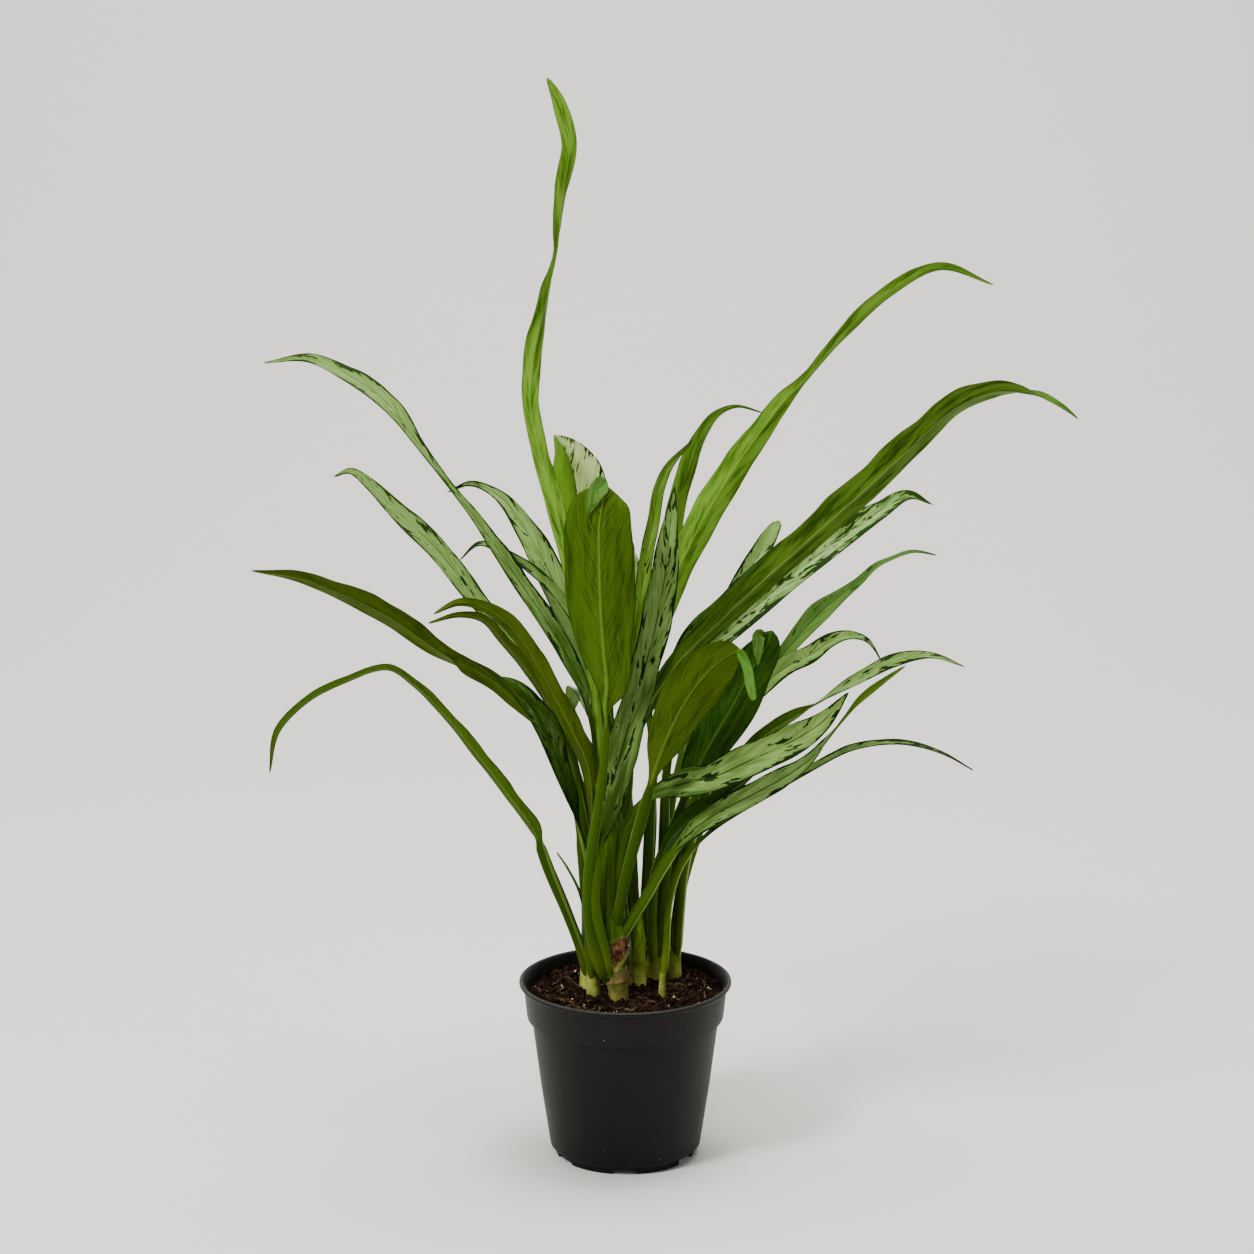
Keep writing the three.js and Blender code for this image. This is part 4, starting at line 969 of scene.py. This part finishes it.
def pot_cutters():
    """The notches through the foot and the drain holes between them, as one mesh."""
    points, faces = [], []
    half, near, far = NOTCH_WIDTH / 2, FOOT_RADIUS - FOOT_WALL - 2, FOOT_RADIUS + 2
    box = [(near, -half), (far, -half), (far, half), (near, half)]
    middle = (PAD_RADIUS + 1 + FOOT_RADIUS - FOOT_WALL) / 2
    for i in range(NOTCHES):
        turn = math.radians(-90 + 360 / NOTCHES * i)
        across, up = math.cos(turn), math.sin(turn)
        notch = [(x * across - y * up, x * up + y * across) for x, y in box]
        turn += math.pi / NOTCHES
        hole = [(middle * math.cos(turn) + x, middle * math.sin(turn) + y)
                for x, y in circle(DRAIN_RADIUS, DRAIN_STEPS)]
        for outline, low, high in ((notch, -1, FOOT_HEIGHT - 0.3), (hole, 1, CHANNEL + 1)):
            faces += [tuple(len(points) + k for k in face) for face in tube_faces(2, len(outline))]
            points += [(x, y, z) for z in (low, high) for x, y in outline]
    return (np.array(points) * MM).tolist(), faces


def make_pot(material):
    """The pot's shell, with its notches and drain holes cut out."""
    pot = piece("pot_shell", *lathe(pot_profile(), POT_STEPS), "pot", "pot_plastic", material)
    cutter = new_object("cutter", *pot_cutters())
    cut = pot.modifiers.new("cut", "BOOLEAN")
    cut.operation = "DIFFERENCE"
    cut.solver = "EXACT"
    cut.object = cutter
    depsgraph = bpy.context.evaluated_depsgraph_get()
    done = bpy.data.meshes.new_from_object(pot.evaluated_get(depsgraph))
    pot.modifiers.clear()
    pot.data = done
    bpy.data.objects.remove(cutter)
    done.set_sharp_from_angle(angle=POT_SHARP)


# ---- soil

def soil_height(x, y):
    """The crumbly surface: broad lumps with finer ones on them."""
    lump = 0.6 * math.sin(0.21 * x + 0.6) * math.cos(0.17 * y - 0.4)
    lump += 0.6 * math.sin(0.47 * x - 0.39 * y) * math.cos(0.36 * x + 0.52 * y)
    fine = noise.fractal(Vector((0.22 * x, 0.22 * y, 3)), 0.7, 2.1, 5)
    return SOIL_TOP + 1.1 * lump + 1.3 * fine


def make_soil(material):
    """The peat: a closed body with a rough top, from just inside the pot's wall."""
    points = [(0, 0, SOIL_BOTTOM)]
    walls = [(39.5, SOIL_BOTTOM), (50, COLLAR_BOTTOM - 1), (52.6, COLLAR_BOTTOM + 3),
             (SOIL_RADIUS, SOIL_TOP - 1)]
    for radius, z in walls:
        points += [(x, y, z) for x, y in circle(radius, SOIL_STEPS)]
    for i in range(1, SOIL_RINGS):
        spots = circle(SOIL_RADIUS * (1 - i / SOIL_RINGS), SOIL_STEPS)
        points += [(x, y, soil_height(x, y)) for x, y in spots]
    points.append((0, 0, soil_height(0, 0)))
    faces = turned_faces(len(walls) + SOIL_RINGS - 1, SOIL_STEPS)
    piece("soil_body", points, faces, "soil", "soil", material)


def ball():
    """The points and faces of a fine round lump, for crumbs to be made from."""
    made = bmesh.new()
    bmesh.ops.create_icosphere(made, subdivisions=2, radius=1)
    points = np.array([vertex.co[:] for vertex in made.verts])
    faces = [tuple(vertex.index for vertex in face.verts) for face in made.faces]
    made.free()
    return points, faces


def soil_spot(chance, reach):
    """A place drawn evenly from the circle within reach of the pot's axis."""
    radius, turn = reach * math.sqrt(chance.random()), chance.uniform(0, 2 * math.pi)
    return radius * math.cos(turn), radius * math.sin(turn)


def scatter(name, count, sizes, flat, tints, material):
    """Rough lumps sunk in the soil's surface. Small ones are many."""
    chance = random.Random(name)
    base, sides = ball()
    points, faces, lay = [], [], []
    for _ in range(count):
        x, y = soil_spot(chance, LITTER_RADIUS)
        size = sizes[0] + (sizes[1] - sizes[0]) * chance.random() ** 3
        turn = np.array(Euler([chance.uniform(0, math.pi) for _ in range(3)]).to_matrix())
        rough = Vector([chance.uniform(0, 90) for _ in range(3)])
        bulges = np.array([1 + 0.55 * noise.noise(Vector(point) * 1.3 + rough) for point in base])
        squash = (1, chance.uniform(0.6, 0.9), chance.uniform(*flat))
        lump = (base * bulges[:, None] * squash * size) @ turn
        faces += [tuple(len(points) + k for k in side) for side in sides]
        points += (lump + (x, y, soil_height(x, y) + 0.25 * size)).tolist()
        lay += [(chance.uniform(*tints), 0, 0)] * len(base)
    piece(name, points, faces, "soil", "soil", material, {"lay": lay})


def fibres(name, count, radii, material):
    """Thin bent threads that lie on the soil, some with an end in the air."""
    chance = random.Random(name)
    around = 6
    points, faces, lay = [], [], []
    for _ in range(count):
        x, y = soil_spot(chance, FIBRE_RADIUS)
        turn, bend = chance.uniform(0, 2 * math.pi), chance.uniform(-0.16, 0.16)
        steps, radius = chance.randint(5, 12), chance.uniform(*radii)
        rise = chance.uniform(0, 2.6) * (chance.random() < 0.4)
        route = []
        for i in range(steps):
            height = soil_height(x, y) + 0.4 + 0.5 * math.sin(2.1 * i + turn) + rise * (i / steps) ** 2
            route.append((x, y, height, radius * (1.15 - i / steps)))
            x, y, turn = x + FIBRE_STEP * math.cos(turn), y + FIBRE_STEP * math.sin(turn), turn + bend
        route = np.array(route)
        upper, across = directions(route[:, :3], (0, 0, 1))
        faces += tube_faces(steps, around, first=len(points))
        for i in range(steps):
            for out, up in circle(1, around):
                points.append((route[i, :3] + route[i, 3] * (across[i] * out - upper[i] * up)).tolist())
        lay += [(chance.random() ** 2, 0, 0)] * (steps * around)
    piece(name, points, faces, "soil", "soil", material, {"lay": lay})


# ---- room

def soft_light(name, place, target, size, power):
    """A round white lamp that faces the target. Places and sizes are in metres, its power in watts."""
    light = bpy.data.lights.new(name, "AREA")
    light.shape = "DISK"
    light.size = size
    light.energy = power
    made = bpy.data.objects.new(name, light)
    made.location = place
    bpy.context.scene.collection.objects.link(made)
    made.rotation_euler = (Vector(target) - made.location).to_track_quat("-Z", "Y").to_euler()


def room_material():
    """Nearly one colour, with soft clouds."""
    recipe = Recipe("sweep", 0.9)
    recipe.skin(Base_Color=recipe.mix(recipe.cloud(2), ROOM_COLOUR, dimmed(ROOM_COLOUR, 0.985)))
    return recipe.material


def make_room():
    """A plain floor that sweeps up into a plain backdrop, soft lights and a faint even glow."""
    wide, near, back, bend, high, steps = 5, -4, 2.2, 1.2, 4.5, 16
    turns = [math.pi / 2 * k / steps for k in range(steps + 1)]
    route = [(near, 0), (0, 0)]
    route += [(back - bend + bend * math.sin(turn), bend - bend * math.cos(turn)) for turn in turns]
    route.append((back, high))
    points = [(x, y, z) for y, z in route for x in (-wide, wide)]
    faces = [(2 * i, 2 * i + 1, 2 * i + 3, 2 * i + 2) for i in range(len(route) - 1)]
    new_object("sweep", points, faces, room_material())
    world = bpy.data.worlds.new("room")
    world.use_nodes = True
    glow = world.node_tree.nodes["Background"]
    glow.inputs["Color"].default_value = GLOW
    glow.inputs["Strength"].default_value = GLOW_STRENGTH
    bpy.context.scene.world = world
    middle = (0, 0, 0.3)
    soft_light("key", (-1.4, -1.3, 2.1), middle, 0.7, 72)
    soft_light("fill", (1.7, -1.3, 1.0), middle, 1.4, 10)
    soft_light("top", (0.3, 0.3, 2.3), middle, 1.1, 38)
    soft_light("wall", (0, 0.2, 3.2), (0, 2.0, 0.8), 2.0, 70)


def make_camera():
    """The main view: from the front, level from side to side."""
    camera = bpy.data.cameras.new("camera")
    camera.lens = LENS
    camera.sensor_width = SENSOR
    made = bpy.data.objects.new("camera", camera)
    made.location = CAMERA_PLACE
    made.rotation_euler = (math.pi / 2 - CAMERA_DOWN, 0, 0)
    bpy.context.scene.collection.objects.link(made)
    bpy.context.scene.camera = made


# ---- everything together

def make_plant():
    """Every leaf in its look, the main cane and the other stems."""
    looks = {look: leaf_material(look) for look in LOOKS}
    for index, one in enumerate(LEAVES):
        leaf_piece(one, index, looks[one["look"]])
    # The cane's darker green is painted shade, and the other stems' lighter green is painted light.
    main_cane(stem_material("cane", CANE_SHADED_GREEN, CANE_FOOT))
    skin = stem_material("stem", STEM_LIT_GREEN, STEM_LIT_FOOT)
    for node, stations in STEMS.items():
        if node != "shoot_main":
            plain_stem(node + "_stem", node, stations, skin)


def make_ground():
    """The peat with its crumbs, chips and fibres. Sizes are in millimetres."""
    make_soil(soil_material())
    crumb = litter_material("crumb", CRUMB_COLOURS, 0.9)
    fibre = litter_material("fibre", FIBRE_COLOURS, 0.7)
    chip = litter_material("chip", CHIP_COLOURS, 0.8)
    scatter("soil_crumbs", CRUMBS, (0.5, 2.4), (0.5, 0.9), (0, 0.6), crumb)
    scatter("soil_chips", CHIPS, (0.3, 1.3), (0.3, 0.5), (0, 1), chip)
    fibres("soil_fibres", FIBRES, (0.12, 0.3), fibre)


make_camera()
make_room()
make_pot(pot_material())
make_ground()
make_plant()
